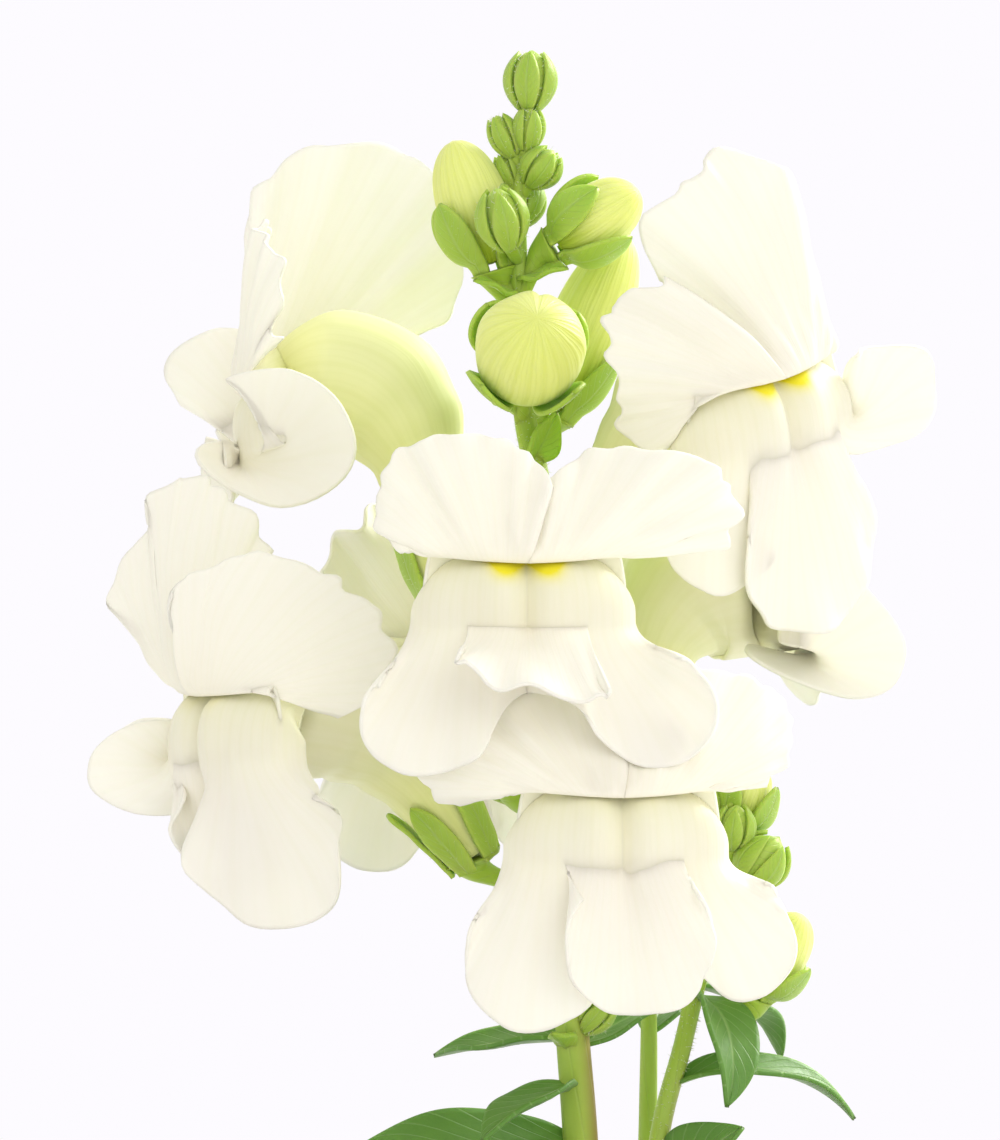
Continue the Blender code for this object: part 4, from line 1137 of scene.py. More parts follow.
def rod_point(u, v, stations, ridges=0.0):
    """A point of a closed rod; the first and last bit of v close its ends."""
    end = 0.02
    share = (v - end) / (1.0 - 2.0 * end)
    middle, radius = smooth_line(stations, share)
    ahead = smooth_line(stations, share + 0.01)[0] - smooth_line(stations, share - 0.01)[0]
    across = ahead.cross(Vector((0.0, 1.0, 0.2))).normalized()
    upward = across.cross(ahead).normalized()
    if v <= 0.0 or v >= 1.0:
        return middle
    turn = 2.0 * pi * u
    radius *= 1.0 + ridges * cos(5.0 * turn + 8.0 * share)
    return middle + (across * cos(turn) + upward * sin(turn)) * radius


def lay_rod(shape, stations, columns, rows, tone=no_tone, ridges=0.0):
    """Adds a closed rod along its stations."""
    lay(shape, lambda u, v: rod_point(u, v, stations, ridges), columns, rows, tone)


def blade_point(s, t, root, along, face, length, width, arch, phase):
    """A point of a leaf: pointed at both ends, creased along its midrib and arched away from its face."""
    along = Vector(along).normalized()
    face = Vector(face)
    face = (face - along * face.dot(along)).normalized()
    across = along.cross(face).normalized()
    shape = sin(pi * t**LEAF_WIDEST) ** 0.85 if 0.0 < t < 1.0 else 0.0
    half = max(width / 2.0 * shape, LEAF_STALK * (1.0 - t), 0.02)
    bend = radians(arch) * t
    ahead, drop = arc(length * t, bend)
    normal = face * cos(bend) + along * sin(bend)
    lift = LEAF_FOLD * (s * s * 0.7 + abs(s) * 0.3) * half
    lift += LEAF_WAVE * sin(9.0 * t + phase) * abs(s) * shape
    lift -= 0.16 * bump(s, 0.0, 0.12) * (1.0 - 0.7 * t)
    lift -= 0.10 * abs(sin(pi * (8.0 * t - 2.5 * abs(s)))) ** 6 * abs(s) * (1.0 - abs(s)) * shape
    return Vector(root) + along * ahead - face * drop + across * (s * half) + normal * lift


# The flower stalk and main stem, from its foot in the soil to its tip: x, y, z, radius
MAIN_STEM = (
    (0.6, 0.0, SOIL_TOP - STEM_DEPTH, 1.7),
    (0.6, 0.0, 92.0, 1.75),
    (0.2, 0.0, 112.0, 1.7),
    (-0.5, 0.0, 130.0, 1.65),
    (-0.9, 0.0, 143.0, 1.6),
    (-1.8, 0.0, 155.0, 1.5),
    (-2.6, 0.0, 170.0, 1.3),
    (-3.6, 0.0, 188.0, 1.2),
    (-4.6, 0.0, 202.0, 1.1),
    (-6.0, 0.0, 210.0, 1.0),
    (-6.5, 0.0, 223.0, 0.85),
    (-6.4, 0.0, 230.0, 0.7),
    (-5.7, 0.0, 236.0, 0.6),
    (-5.5, 0.0, 240.0, 0.5),
)


def stem_at(stations, height):
    """The middle of a stem at a height."""
    for low, high in zip(stations, stations[1:]):
        if low[2] <= height <= high[2]:
            share = (height - low[2]) / (high[2] - low[2])
            return Vector(low[:3]).lerp(Vector(high[:3]), share)
    return Vector(stations[-1][:3])


RIGHT_SHOOT = (
    (6.2, 5.5, SOIL_TOP - STEM_DEPTH, 1.1),
    (6.2, 5.5, 92.0, 1.15),
    (5.4, 4.8, 115.0, 1.1),
    (5.3, 3.8, 132.0, 1.0),
    (6.4, 3.0, 143.3, 0.9),
    (8.5, 3.0, 151.5, 0.85),
    (10.1, 3.0, 158.2, 0.85),
    (11.9, 3.2, 164.0, 0.8),
    (12.9, 3.4, 168.0, 0.7),
)
BACK_SHOOT = (
    (1.5, 12.5, SOIL_TOP - STEM_DEPTH, 1.1),
    (1.5, 12.5, 92.0, 1.15),
    (3.6, 12.0, 115.0, 1.0),
    (5.2, 11.0, 135.0, 0.9),
    (5.6, 10.5, 150.0, 0.8),
    (5.5, 10.5, 160.0, 0.6),
)
LEFT_SHOOT = (
    (-12.0, 4.0, SOIL_TOP - STEM_DEPTH, 1.0),
    (-12.0, 4.0, 92.0, 1.05),
    (-15.0, 5.0, 108.0, 0.95),
    (-17.0, 6.0, 120.0, 0.8),
    (-18.0, 6.5, 128.0, 0.6),
)
FRONT_SHOOT = (
    (7.0, -11.0, SOIL_TOP - STEM_DEPTH, 1.0),
    (7.0, -11.0, 92.0, 1.05),
    (10.0, -14.5, 107.0, 0.95),
    (12.0, -17.0, 118.0, 0.8),
    (12.8, -18.0, 125.0, 0.6),
)

# Leaves and bracts that are placed one by one: root, direction, face, length, width, arch
MAIN_LEAVES = (
    ((-2.0, 0.6, 152.4), (-1.0, 0.4, -0.05), (0.1, -0.35, 1.0), 13.5, 6.0, 12.0),
    ((-1.4, -0.8, 148.2), (-0.68, -0.68, -0.12), (-0.3, -0.2, 1.0), 13.0, 6.0, 25.0),
    ((-0.8, -0.4, 142.6), (-1.0, -0.25, 0.12), (0.1, -0.45, 1.0), 22.0, 8.0, 18.0),
    ((-1.0, 0.8, 151.6), (0.85, 0.5, 0.5), (-0.3, -0.6, 0.8), 11.5, 4.6, 10.0),
    ((-1.8, -0.6, 151.4), (-0.5, -0.75, 0.6), (0.2, 0.5, 0.8), 3.6, 2.6, 10.0),
    ((-5.4, -0.6, 204.6), (0.45, -0.35, 0.8), (0.6, -0.7, 0.3), 5.6, 3.4, 10.0),
    ((-6.3, -0.5, 209.0), (-0.5, -0.5, 0.5), (0.3, 0.6, 0.7), 4.4, 3.0, 10.0),
    ((-6.4, -0.5, 221.5), (0.7, -0.5, 0.2), (-0.3, -0.5, 0.8), 5.2, 2.8, 10.0),
    ((-6.6, -0.3, 220.2), (-0.8, -0.5, 0.3), (0.4, -0.5, 0.8), 4.6, 2.6, 10.0),
    ((-3.2, -0.8, 178.6), (-0.5, -0.7, 0.5), (0.3, 0.5, 0.8), 5.5, 3.0, 10.0),
)
RIGHT_LEAVES = (
    ((10.0, 2.4, 156.0), (0.42, -0.7, -0.1), (0.5, -0.3, 0.9), 14.0, 6.0, 85.0),
    ((7.6, 3.0, 148.0), (0.93, 0.1, 0.42), (-0.4, -0.4, 0.9), 19.5, 5.0, 75.0),
    ((9.9, 3.8, 157.0), (0.7, 0.65, -0.15), (-0.2, -0.5, 0.9), 15.0, 5.5, 45.0),
    ((5.6, 2.6, 137.0), (0.5, -0.5, 0.65), (-0.5, -0.6, 0.6), 12.5, 7.5, 20.0),
    ((5.4, 3.8, 130.5), (0.86, 0.0, 0.55), (-0.5, -0.2, 0.9), 25.0, 5.5, 8.0),
    ((9.6, 2.6, 157.2), (-0.6, -0.5, 0.6), (0.3, 0.5, 0.8), 3.2, 2.2, 10.0),
)
BACK_LEAVES = (
    ((5.5, 11.0, 152.0), (0.3, 0.8, 0.5), (0.0, -0.5, 0.9), 13.0, 5.0, 30.0),
    ((5.5, 11.0, 156.0), (0.8, 0.4, 0.5), (-0.4, -0.5, 0.9), 10.0, 4.0, 30.0),
)

# Green buds at the tip of the stalk: middle, half height, radius, lean
TIP_BUDS = (
    ((-5.4, 0.0, 239.4), 3.0, 2.3, (0.05, 0.0, 1.0)),
    ((-5.6, -0.8, 235.0), 2.1, 1.35, (0.1, -0.2, 1.0)),
    ((-7.7, -0.2, 234.4), 2.2, 1.3, (-0.45, 0.0, 1.0)),
    ((-4.5, -0.6, 231.5), 2.1, 1.8, (0.6, -0.2, 0.8)),
    ((-7.4, 0.4, 231.3), 1.8, 1.0, (-0.4, 0.0, 1.0)),
    ((-8.0, -5.4, 226.6), 3.1, 2.3, (-0.2, -0.35, 1.0)),
    ((-6.0, 2.4, 228.6), 2.6, 1.9, (0.1, 0.6, 1.0)),
    ((0.6, -0.9, 154.6), 2.2, 1.4, (0.8, -0.3, 0.9)),
)

# Large buds: the foot of the corolla, its tip, its radius, the seat of its stalk and the sepals' length
LARGE_BUDS = {
    "bud_left": ((-8.9, 0.0, 222.8), (-12.5, -0.4, 234.0), 3.2, (-6.6, 0.0, 217.5), 6.6),
    "bud_front": ((-6.0, -4.0, 212.6), (-4.9, -13.5, 217.4), 4.7, (-6.1, 0.0, 208.5), 5.0),
    "bud_right": ((-2.9, -1.0, 224.6), (4.4, -2.4, 229.4), 3.0, (-6.5, 0.0, 219.5), 6.2),
    "bud_back": ((-3.3, 3.6, 209.6), (3.4, 5.6, 225.6), 3.4, (-5.6, 0.4, 204.5), 6.2),
}
SHOOT_BUDS = {
    "shoot_bud_opening": ((15.2, 2.4, 156.6), (19.4, 1.4, 163.6), 2.6, (10.9, 3.0, 160.8), 4.6),
    "shoot_bud_upper": ((13.6, 4.4, 171.4), (15.4, 5.0, 177.6), 2.1, (12.6, 3.3, 166.5), 4.4),
}
SHOOT_TIP_BUDS = (
    ((13.2, 1.4, 171.6), 2.2, 1.8, (0.1, -0.3, 1.0)),
    ((15.6, 2.6, 168.4), 2.9, 2.6, (0.6, -0.2, 0.8)),
    ((11.2, 3.6, 173.4), 2.2, 1.1, (-0.1, 0.1, 1.0)),
)


def lay_blade(shape, blade, finish_index, young, columns, rows):
    """A leaf from its root, direction, face, length, width, arch and phase."""

    def tone(u, v):
        return 0.0, min(young + 0.35 * (1.0 - rise(0.0, 0.3, v)), 1.0), v

    lay(shape, lambda u, v: blade_point(u * 2.0 - 1.0, v, *blade), columns, rows, tone, finish_index)


def lay_low_leaves(shape, stations, lowest, step, headings):
    """Leaves up a stem, one for each heading, shorter towards its top."""
    for index, heading in enumerate(headings):
        share = index / max(len(headings) - 1, 1)
        root = stem_at(stations, lowest + step * index)
        along = (cos(radians(heading)), sin(radians(heading)), 0.42)
        length, width = LOW_LEAF_LENGTH * mix(1.0, 0.75, share), LOW_LEAF_WIDTH * mix(1.0, 0.85, share)
        blade = (root, along, (0.0, 0.0, 1.0), length, width, LOW_LEAF_ARCH, heading)
        lay_blade(shape, blade, LEAF, 0.0, *LEAF_GRID)


def lay_placed_leaves(shape, leaves):
    """Leaves, and bracts that are short and have a sepal's green."""
    for index, leaf in enumerate(leaves):
        if leaf[3] > BRACT_LENGTH:
            lay_blade(shape, (*leaf, index), LEAF, 0.15, *LEAF_GRID)
        else:
            lay_blade(shape, (*leaf, index), SEPAL, 0.35, *BRACT_GRID)


def sepal_point(s, t, ring, heading, reach, half_angle):
    """A pointed sepal that lies over a corolla without touching it, rooted in the knob below its foot."""
    v = mix(-0.05, reach, t)
    middle, across, upward, radius = ring(v)
    shape = (1.0 - t) ** 0.72 * (0.8 + 1.15 * t)
    turn = heading + s * half_angle * shape
    gap = 0.15 + (0.7 * SEPAL_GAP - 0.15 + 0.35 * SEPAL_FLARE * t * t) * rise(0.0, 0.25, t)
    gap += 0.22 * s * s * shape + 0.12 * sin(5.0 * t + heading) * s
    return ring_point(middle, across, upward, radius + gap, turn)


def sepal_tone(u, v):
    edge = abs(u * 2.0 - 1.0) ** 3
    return 0.0, min(0.2 + 0.5 * edge + 0.25 * (1.0 - v), 1.0), v


def lay_cup(bodies, sheets, ring, seat, reach, count, phase, half_angle):
    """A calyx: a stalk from its seat on the stem, a knob under the corolla's foot, and sepals."""
    foot, _, _, radius = ring(0.0)
    along = (ring(0.05)[0] - foot).normalized()
    seat = Vector(seat)
    knob = foot - along * (CUP_GAP + 1.6)
    stations = (
        (*seat, 0.8),
        (*seat.lerp(knob, 0.6), 0.75),
        (*knob, 1.25),
        (*(foot - along * (CUP_GAP + 0.2)), radius + 0.7),
    )
    lay_rod(bodies, stations, 18, 20)
    for index in range(count):
        heading = 2.0 * pi * index / count + phase
        lay(
            sheets, lambda u, v: sepal_point(u * 2.0 - 1.0, v, ring, heading, reach, half_angle),
            12, 20, sepal_tone, SEPAL,
        )


def bud_body(foot, tip, radius):
    """A closed corolla as rings: widest past its middle."""
    axis = tip - foot
    along = axis.normalized()
    across = along.cross(Vector((0.0, 1.0, 0.15))).normalized()
    upward = across.cross(along).normalized()

    def ring(v):
        along_it = min(max(v, 0.0), 1.0) ** 0.88
        girth = radius * 1.05 * max(1.0 - abs(2.0 * along_it - 1.0) ** 2.4, 0.0) ** 0.55
        if v < 0.12:
            girth = max(girth, radius * 0.5)
        return foot + axis * v, across, upward, girth

    return ring


def bud_point(u, v, ring, phase):
    """A closed bud: the upper lip's two lobes wrap over the lower lip, with a furrow between them."""
    middle, across, upward, radius = ring(v)
    if v <= 0.0 or v >= 1.0:
        return middle
    turn = 2.0 * pi * u
    open_part = rise(0.35, 0.75, v)
    folded = 1.0 - 0.10 * open_part * bump(abs(turn - 0.5 * pi), 0.0, 0.10)
    lip = 0.06 * open_part * (rise(-0.12, 0.12, sin(turn) + 0.25 + 0.2 * cos(3.0 * turn)) - 1.0)
    soft = 0.05 * noise.noise(Vector((1.6 * cos(turn), 1.6 * sin(turn), 2.2 * v + phase)))
    return ring_point(middle, across, upward, radius * (folded + lip + soft * rise(0.1, 0.4, v)), turn)


def lay_tip_bud(bodies, sheets, middle, half_height, radius, lean, stem, phase):
    """A small green bud on a short stalk, wrapped in five sepals."""
    middle = Vector(middle)
    lean = Vector(lean).normalized()
    side = lean.orthogonal().normalized()
    top = side.cross(lean)

    def body_place(u, v):
        girth = 0.86 * radius * sin(pi * v) ** 0.7 if 0.0 < v < 1.0 else 0.0
        turn = 2.0 * pi * u
        ridge = 1.0 + 0.06 * cos(5.0 * turn)
        around = side * cos(turn) + top * sin(turn)
        return middle + lean * (0.96 * half_height * (2.0 * v - 1.0)) + around * (girth * ridge)

    def sepal_place(u, v, heading):
        s = u * 2.0 - 1.0
        climb = mix(0.04, 0.93, v)
        girth = radius * (0.95 * sin(pi * climb) ** 0.7 + 0.05)
        width = 0.62 * (1.0 - v) ** 0.55 * (0.7 + 1.0 * v)
        turn = heading + s * width
        out = girth * (1.0 - 0.05 * s * s) + 0.22 * v * v
        around = side * cos(turn) + top * sin(turn)
        return middle + lean * (half_height * (2.0 * climb - 1.0)) + around * out

    lay(bodies, body_place, 24, 16, lambda u, v: (0.0, 0.3 + 0.6 * v, v), SEPAL)
    for index in range(5):
        heading = 2.0 * pi * index / 5.0 + phase
        lay(sheets, lambda u, v: sepal_place(u, v, heading), 8, 12, sepal_tone, SEPAL)
    foot = middle - lean * half_height * 0.7
    seat = stem_at(stem, foot.z - 1.6)
    lay_rod(bodies, ((*seat, 0.5), (*seat.lerp(foot, 0.5), 0.6), (*(foot + lean), 0.8)), 12, 8)


def stem_tone(redness):
    """Patchily young green all along, and reddish along one side low down."""

    def tone(u, v):
        red = redness * bump(u, 0.5, 0.16) * (1.0 - rise(0.2, 0.75, v))
        return red, 0.25 + 0.3 * noise.noise(Vector((u * 6.0, v * 9.0, 2.0))), v

    return tone


def bud_cups(buds):
    """Each bud's calyx: its corolla's rings, its seat, its reach, its count, phase and spread."""
    cups = []
    for foot, tip, radius, seat, length in buds.values():
        foot, tip = Vector(foot), Vector(tip)
        cups.append((bud_body(foot, tip, radius), seat, length / (tip - foot).length, *BUD_CUP))
    return cups


def cup_rings():
    """Every calyx on the main stem."""
    cups = []
    for floret in FLORETS.values():
        seat = stem_at(MAIN_STEM, floret["foot"][2] - 5.0)
        cups.append((floret_body(floret), seat, *FLORET_CUP))
    return cups + bud_cups(LARGE_BUDS)


def green_piece(name, node, rod, cups, tip_buds, turn, leaves, low_leaves):
    """One grown body: a ribbed stem with the calyces, tip buds and leaves that stand on it."""
    stations, columns, rows, redness, ribs = rod
    bodies, sheets = new_shape(), new_shape()
    lay_rod(bodies, stations, columns, rows, stem_tone(redness), ribs)
    for cup in cups:
        lay_cup(bodies, sheets, *cup)
    for index, bud in enumerate(tip_buds):
        lay_tip_bud(bodies, sheets, *bud, stations, turn * index)
    lay_placed_leaves(sheets, leaves)
    lay_low_leaves(sheets, stations, *low_leaves)
    thickness = bpy.context.scene.snapdragon_leaf.leaf_thickness
    piece = piece_of(name, bodies, sheets, thickness, [stem_finish(), sepal_finish(), leaf_finish()])
    declare(piece, "green", node)


class SNAPDRAGON_OT_main_stem(bpy.types.Operator):
    """Model the flower stalk with its calyces, tip buds, bracts and leaves"""

    bl_idname = "snapdragon.main_stem"
    bl_label = "Main Stem"
    bl_options = {"REGISTER", "UNDO"}

    def execute(self, context):
        green_piece(
            "flower_stalk", "main_stem", (MAIN_STEM, 28, 220, 0.8, 0.035), cup_rings(), TIP_BUDS, 0.7,
            MAIN_LEAVES, (96.0, 6.0, (228.0, 352.0, 205.0, 262.0, 348.0, 225.0, 200.0)),
        )
        return {"FINISHED"}


class SNAPDRAGON_OT_right_shoot(bpy.types.Operator):
    """Model the budding side shoot on the right"""

    bl_idname = "snapdragon.right_shoot"
    bl_label = "Right Shoot"
    bl_options = {"REGISTER", "UNDO"}

    def execute(self, context):
        green_piece(
            "budding_shoot", "right_shoot", (RIGHT_SHOOT, 22, 120, 0.9, 0.03), bud_cups(SHOOT_BUDS),
            SHOOT_TIP_BUDS, 0.5, RIGHT_LEAVES, (100.0, 9.0, (18.0, 50.0, 12.0)),
        )
        return {"FINISHED"}


# Each shoot's stations, its placed leaves, and its low leaves: the lowest one, the step, the headings
LEAFY_SHOOTS = {
    "back_shoot": (BACK_SHOOT, BACK_LEAVES, (98.0, 8.0, (112.0, 72.0, 130.0, 88.0))),
    "left_shoot": (LEFT_SHOOT, (), (97.0, 6.0, (190.0, 132.0, 168.0, 215.0, 110.0, 165.0))),
    "front_shoot": (FRONT_SHOOT, (), (97.0, 6.0, (-88.0, -28.0, -60.0, -110.0, -40.0))),
}


class SNAPDRAGON_OT_leafy_shoots(bpy.types.Operator):
    """Model the leafy shoots without flowers"""

    bl_idname = "snapdragon.leafy_shoots"
    bl_label = "Leafy Shoots"
    bl_options = {"REGISTER", "UNDO"}

    def execute(self, context):
        for name, (stations, leaves, low_leaves) in LEAFY_SHOOTS.items():
            green_piece(
                name + "_leaves", name, (stations, 20, 80, 0.4, 0.03), (), (), 0.0, leaves, low_leaves,
            )
        return {"FINISHED"}


class SNAPDRAGON_OT_buds(bpy.types.Operator):
    """Model the large closed buds"""

    bl_idname = "snapdragon.buds"
    bl_label = "Closed Buds"
    bl_options = {"REGISTER", "UNDO"}

    def execute(self, context):
        everything = {**LARGE_BUDS, **SHOOT_BUDS}
        for phase, (name, (foot, tip, radius, _, _)) in enumerate(everything.items()):
            ring = bud_body(Vector(foot), Vector(tip), radius)
            shape = new_shape()

            def tone(u, v):
                pale = 0.35 * rise(0.6, 1.0, v) * bump(u, 0.25, 0.2)
                return pale, 1.0 - rise(0.05, 0.6, v), v

            lay(shape, lambda u, v: bud_point(u, v, ring, phase), 72, 56, tone)
            piece = piece_of(name + "_corolla", shape, None, 0.0, [bud_finish()])
            declare(piece, "bud", name)
        return {"FINISHED"}


# Hairs


def lay_hairs(shape, place, count, draw, length, away_from, low, high):
    """Thin cones that stand on place(u, v), away from a middle line."""
    step = 0.01
    for _ in range(count):
        u = draw.uniform(0.02, 0.97)
        v = draw.uniform(low, high)
        root = Vector(place(u, v))
        one = Vector(place(u + step, v)) - root
        two = Vector(place(u, v + step)) - root
        normal = one.cross(two)
        if normal.length < 1e-9:
            continue
        normal.normalize()
        if normal.dot(root - Vector(away_from(v))) < 0.0:
            normal = -normal
        tilt = Vector([draw.uniform(-0.45, 0.45) for _ in range(3)])
        aim = (normal + tilt).normalized()
        tall = length * draw.uniform(0.45, 1.1)
        turn = aim.to_track_quat("Z", "Y").to_matrix().to_4x4()
        bmesh.ops.create_cone(
            shape, cap_ends=True, cap_tris=False, segments=3, radius1=HAIR_RADIUS * MM,
            radius2=0.0, depth=tall * MM,
            matrix=Matrix.Translation((root + aim * tall * 0.45) * MM) @ turn,
        )


def hair_finish():
    return plain_finish("hairs", (0.80, 0.86, 0.62), 0.2, {
        "Roughness": 0.5, "Subsurface Weight": 0.4, "Subsurface Radius": (1.0, 1.0, 0.6),
        "Subsurface Scale": 0.0006,
    })


def lay_rod_hairs(shape, stations, count, draw, length, low):
    """Hairs on the upper part of a stem."""
    lay_hairs(
        shape, lambda u, v: rod_point(u, v, stations), count, draw, length,
        lambda v: smooth_line(stations, (v - 0.02) / 0.96)[0], low, 0.97,
    )


def lay_cup_hairs(shape, cups, draw, length):
    """Hairs on every sepal of some calyces."""
    for ring, _, reach, count, phase, half_angle in cups:
        for index in range(count):
            heading = 2.0 * pi * index / count + phase
            lay_hairs(
                shape, lambda u, v: sepal_point(u * 2.0 - 1.0, v, ring, heading, reach, half_angle),
                SEPAL_HAIRS, draw, length, lambda v: ring(mix(-0.05, reach, v))[0], 0.05, 0.9,
            )


class SNAPDRAGON_OT_hairs(bpy.types.Operator):
    """Stand fine hairs on the stalk's top, the buds and the sepals"""

    bl_idname = "snapdragon.hairs"
    bl_label = "Hairs"
    bl_options = {"REGISTER", "UNDO"}

    def execute(self, context):
        leaf = context.scene.snapdragon_leaf
        draw = random.Random(leaf.seed)
        length = leaf.hair_length / MM
        shape = bmesh.new()
        lay_rod_hairs(shape, MAIN_STEM, STALK_HAIRS, draw, length * 0.8, 0.55)
        for middle, half_height, radius, lean in TIP_BUDS:
            middle, lean = Vector(middle), Vector(lean).normalized()
            side = lean.orthogonal().normalized()
            top = side.cross(lean)

            def place(u, v):
                around = side * cos(2.0 * pi * u) + top * sin(2.0 * pi * u)
                girth = radius * max(sin(pi * min(max(v, 0.0), 1.0)), 0.0) ** 0.7
                return middle + lean * half_height * (2.0 * v - 1.0) + around * girth

            lay_hairs(shape, place, BUD_HAIRS, draw, length, lambda v: middle, 0.05, 0.95)
        lay_cup_hairs(shape, cup_rings(), draw, length * 0.8)
        declare(object_of("stalk_hairs", shape, [hair_finish()]), "green")
        shape = bmesh.new()
        lay_rod_hairs(shape, RIGHT_SHOOT, SHOOT_HAIRS, draw, length * 0.7, 0.45)
        lay_cup_hairs(shape, bud_cups(SHOOT_BUDS), draw, length * 0.8)
        declare(object_of("shoot_hairs", shape, [hair_finish()]), "green")
        return {"FINISHED"}


# Pot and soil


def wall_radius(height):
    """The pot's outer radius below its rim band."""
    return mix(POT_FOOT_RADIUS, POT_RIM_RADIUS - RIM_STEP, height / POT_HEIGHT)


def turned(outline, steps):
    """A solid of revolution about Z from a closed outline of (radius, height) in millimetres."""
    shape = bmesh.new()
    verts = [shape.verts.new((radius * MM, 0.0, height * MM)) for radius, height in outline]
    edges = [shape.edges.new((verts[i - 1], verts[i])) for i in range(len(verts))]
    bmesh.ops.spin(
        shape, geom=verts + edges, cent=(0.0, 0.0, 0.0), axis=(0.0, 0.0, 1.0), angle=2.0 * pi,
        steps=steps, use_merge=True, use_duplicate=False,
    )
    bmesh.ops.remove_doubles(shape, verts=shape.verts, dist=0.001 * MM)
    bmesh.ops.recalc_face_normals(shape, faces=shape.faces)
    for face in shape.faces:
        face.smooth = True
    return shape


class SNAPDRAGON_OT_pot(bpy.types.Operator):
    """Turn the plain clay pot with its rim band and drain hole"""

    bl_idname = "snapdragon.pot"
    bl_label = "Pot"
    bl_options = {"REGISTER", "UNDO"}

    def execute(self, context):
        band = POT_HEIGHT - RIM_BAND
        inside = POT_WALL + 1.0
        outline = (
            (DRAIN_RADIUS, 0.0),
            (POT_FOOT_RADIUS - 1.0, 0.0),
            (POT_FOOT_RADIUS, 1.0),
            (wall_radius(band), band),
            (POT_RIM_RADIUS - 0.6, band + 0.4),
            (POT_RIM_RADIUS, band + 1.4),
            (POT_RIM_RADIUS, POT_HEIGHT - 1.2),
            (POT_RIM_RADIUS - 1.2, POT_HEIGHT),
            (wall_radius(POT_HEIGHT) - POT_WALL + 0.8, POT_HEIGHT),
            (wall_radius(POT_HEIGHT) - POT_WALL, POT_HEIGHT - 0.8),
            (wall_radius(inside) - POT_WALL, inside),
            (DRAIN_RADIUS, inside),
        )
        pot = object_of("clay_pot", turned(outline, 128), [clay_finish()])
        edge = pot.modifiers.new("Worn edges", "BEVEL")
        edge.width = 0.0005
        edge.segments = 3
        edge.limit_method = "ANGLE"
        edge.angle_limit = radians(25.0)
        declare(pot, "pot", "pot")
        return {"FINISHED"}


def soil_height(x, y, reach):
    """The soil's top: level in the middle, a little lower at the wall, lumpy all over."""
    spot = Vector((x * 0.16, y * 0.16, 0.4))
    lumps = 0.55 * noise.noise(spot) + 0.3 * noise.noise(spot * 2.6) + 0.16 * noise.noise(spot * 6.1)
    return SOIL_TOP - 1.2 * rise(0.6, 1.0, reach) + lumps


class SNAPDRAGON_OT_soil(bpy.types.Operator):
    """Fill the pot with lumpy soil and loose crumbs"""

    bl_idname = "snapdragon.soil"
    bl_label = "Soil"
    bl_options = {"REGISTER", "UNDO"}

    def execute(self, context):
        settings = context.scene.snapdragon_pot
        draw = random.Random(context.scene.snapdragon_leaf.seed + 1)
        rim = wall_radius(SOIL_TOP) - POT_WALL - SOIL_GAP
        low = POT_WALL + 1.0 + SOIL_GAP
        foot = wall_radius(low) - POT_WALL - SOIL_GAP
        top_share, side_share = 0.8, 0.9

        def place(u, v):
            turn = 2.0 * pi * u
            if v <= top_share:
                reach = v / top_share
                x, y = rim * reach * cos(turn), rim * reach * sin(turn)
                return x, y, soil_height(x, y, reach)
            if v <= side_share:
                share = (v - top_share) / (side_share - top_share)
                radius = mix(rim, foot, share)
                x, y = radius * cos(turn), radius * sin(turn)
                top = soil_height(rim * cos(turn), rim * sin(turn), 1.0)
                return x, y, mix(top, low, share)
            radius = foot * (1.0 - (v - side_share) / (1.0 - side_share))
            return radius * cos(turn), radius * sin(turn), low

        shape = new_shape()
        lay(shape, place, 200, 120)
        close_seams(shape)
        for _ in range(settings.crumbs):
            reach = sqrt(draw.random()) * 0.97
            turn = draw.uniform(0.0, 2.0 * pi)
            x, y = rim * reach * cos(turn), rim * reach * sin(turn)
            size = draw.uniform(0.25, 0.95)
            spot = Matrix.Translation(Vector((x, y, soil_height(x, y, reach) + size * 0.25)) * MM)
            spin = Euler([draw.uniform(0.0, 6.0) for _ in range(3)]).to_matrix().to_4x4()
            stretch = Matrix.Diagonal((draw.uniform(0.6, 1.3), draw.uniform(0.6, 1.2), 0.75, 1.0))
            bmesh.ops.create_icosphere(
                shape, subdivisions=1, radius=size * MM, matrix=spot @ spin @ stretch
            )
        soil = object_of("potting_soil", shape, [soil_finish()])
        declare(soil, "soil", "soil")
        return {"FINISHED"}


# Stage


def area_light(name, location, size, power_watts, colour):
    """A round lamp that aims at the flowers."""
    lamp = bpy.data.lights.new(name, "AREA")
    lamp.shape = "DISK"
    lamp.size = size
    lamp.energy = power_watts
    lamp.color = colour
    thing = bpy.data.objects.new(name, lamp)
    bpy.context.scene.collection.objects.link(thing)
    thing.location = location
    thing.rotation_euler = (Vector(LIGHT_TARGET) - Vector(location)).to_track_quat("-Z", "Y").to_euler()
    return thing


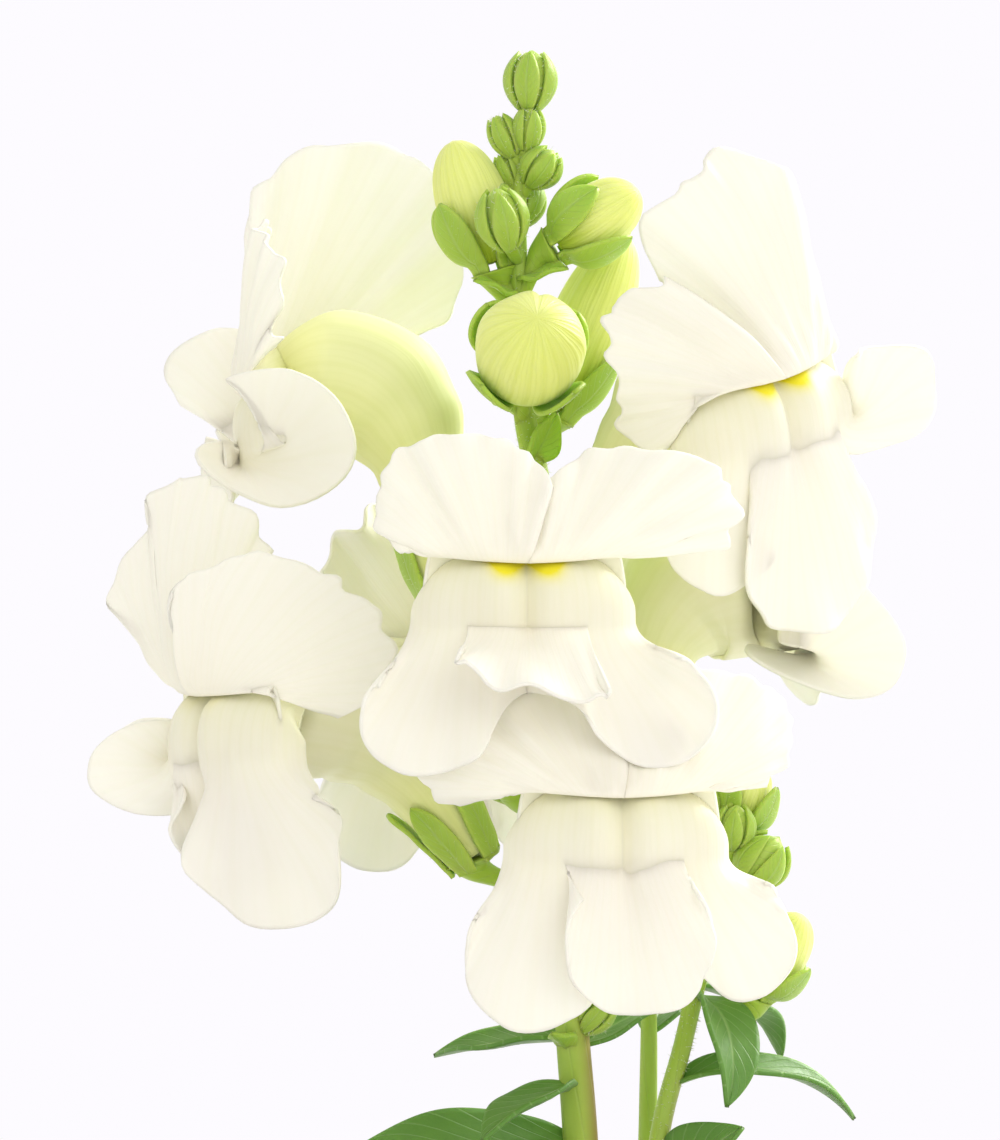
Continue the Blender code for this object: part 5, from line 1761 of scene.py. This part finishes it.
class SNAPDRAGON_OT_stage(bpy.types.Operator):
    """Set the floor, the lights, the bright backdrop and the camera"""

    bl_idname = "snapdragon.stage"
    bl_label = "Stage"
    bl_options = {"REGISTER", "UNDO"}

    def execute(self, context):
        scene = context.scene
        stage = scene.snapdragon_stage
        shape = bmesh.new()
        bmesh.ops.create_circle(shape, cap_ends=True, segments=128, radius=stage.floor_radius)
        ground = object_of("floor", shape, [plain_finish("pale floor", (0.86, 0.86, 0.88), 0.1, {})])
        world = bpy.data.worlds.new("bright studio")
        world.use_nodes = True
        tree = world.node_tree
        tree.nodes.clear()
        seen = add_node(tree, "ShaderNodeBackground", {0: opaque(stage.backdrop), 1: 1.0})
        soft = add_node(tree, "ShaderNodeBackground", {0: (1.0, 0.98, 0.925, 1.0), 1: stage.sky})
        ray = add_node(tree, "ShaderNodeLightPath")
        both = add_node(tree, "ShaderNodeMixShader", {
            0: ray.outputs["Is Camera Ray"], 1: soft.outputs[0], 2: seen.outputs[0],
        })
        add_node(tree, "ShaderNodeOutputWorld", {0: both.outputs[0]})
        scene.world = world
        area_light("key", KEY_PLACE, KEY_SIZE, stage.key, (1.0, 0.99, 0.95))
        area_light("fill", FILL_PLACE, FILL_SIZE, stage.key * FILL_SHARE, (1.0, 1.0, 1.0))
        lens = bpy.data.cameras.new("camera")
        lens.sensor_width = SENSOR
        lens.sensor_fit = "AUTO"
        lens.lens = SENSOR * CAMERA_DISTANCE / (PHOTO_HEIGHT / PIXELS_PER_MM * MM)
        lens.clip_start = 0.01
        eye = bpy.data.objects.new("camera", lens)
        scene.collection.objects.link(eye)
        eye.location = (CAMERA_X, -CAMERA_DISTANCE, CAMERA_Z)
        eye.rotation_euler = (pi / 2.0, 0.0, 0.0)
        scene.camera = eye
        scene.view_settings.view_transform = "Standard"
        scene.view_settings.look = "None"
        return {"FINISHED"}


class SNAPDRAGON_PT_panel(bpy.types.Panel):
    """Lists the plant's pieces"""

    bl_label = "Snapdragon"
    bl_idname = "SNAPDRAGON_PT_panel"
    bl_space_type = "VIEW_3D"
    bl_region_type = "UI"
    bl_category = "Snapdragon"

    def draw(self, context):
        for settings in (
            context.scene.snapdragon_flower,
            context.scene.snapdragon_leaf,
            context.scene.snapdragon_pot,
            context.scene.snapdragon_stage,
        ):
            box = self.layout.box()
            for key in settings.bl_rna.properties.keys():
                if key not in {"rna_type", "name"}:
                    box.prop(settings, key)
        for operator in OPERATORS:
            self.layout.operator(operator.bl_idname)


SETTINGS = {
    "snapdragon_flower": FlowerSettings,
    "snapdragon_leaf": LeafSettings,
    "snapdragon_pot": PotSettings,
    "snapdragon_stage": StageSettings,
}
OPERATORS = (
    SNAPDRAGON_OT_pot,
    SNAPDRAGON_OT_soil,
    SNAPDRAGON_OT_main_stem,
    SNAPDRAGON_OT_right_shoot,
    SNAPDRAGON_OT_leafy_shoots,
    SNAPDRAGON_OT_buds,
    SNAPDRAGON_OT_florets,
    SNAPDRAGON_OT_hairs,
    SNAPDRAGON_OT_stage,
)
CLASSES = (*SETTINGS.values(), *OPERATORS, SNAPDRAGON_PT_panel)


def register():
    for kind in CLASSES:
        bpy.utils.register_class(kind)
    for name, kind in SETTINGS.items():
        setattr(bpy.types.Scene, name, PointerProperty(type=kind))


def unregister():
    for name in SETTINGS:
        delattr(bpy.types.Scene, name)
    for kind in reversed(CLASSES):
        bpy.utils.unregister_class(kind)


def main():
    register()
    bpy.ops.snapdragon.pot()
    bpy.ops.snapdragon.soil()
    bpy.ops.snapdragon.main_stem()
    bpy.ops.snapdragon.right_shoot()
    bpy.ops.snapdragon.leafy_shoots()
    bpy.ops.snapdragon.buds()
    bpy.ops.snapdragon.florets()
    bpy.ops.snapdragon.hairs()
    bpy.ops.snapdragon.stage()


if __name__ == "__main__":
    main()
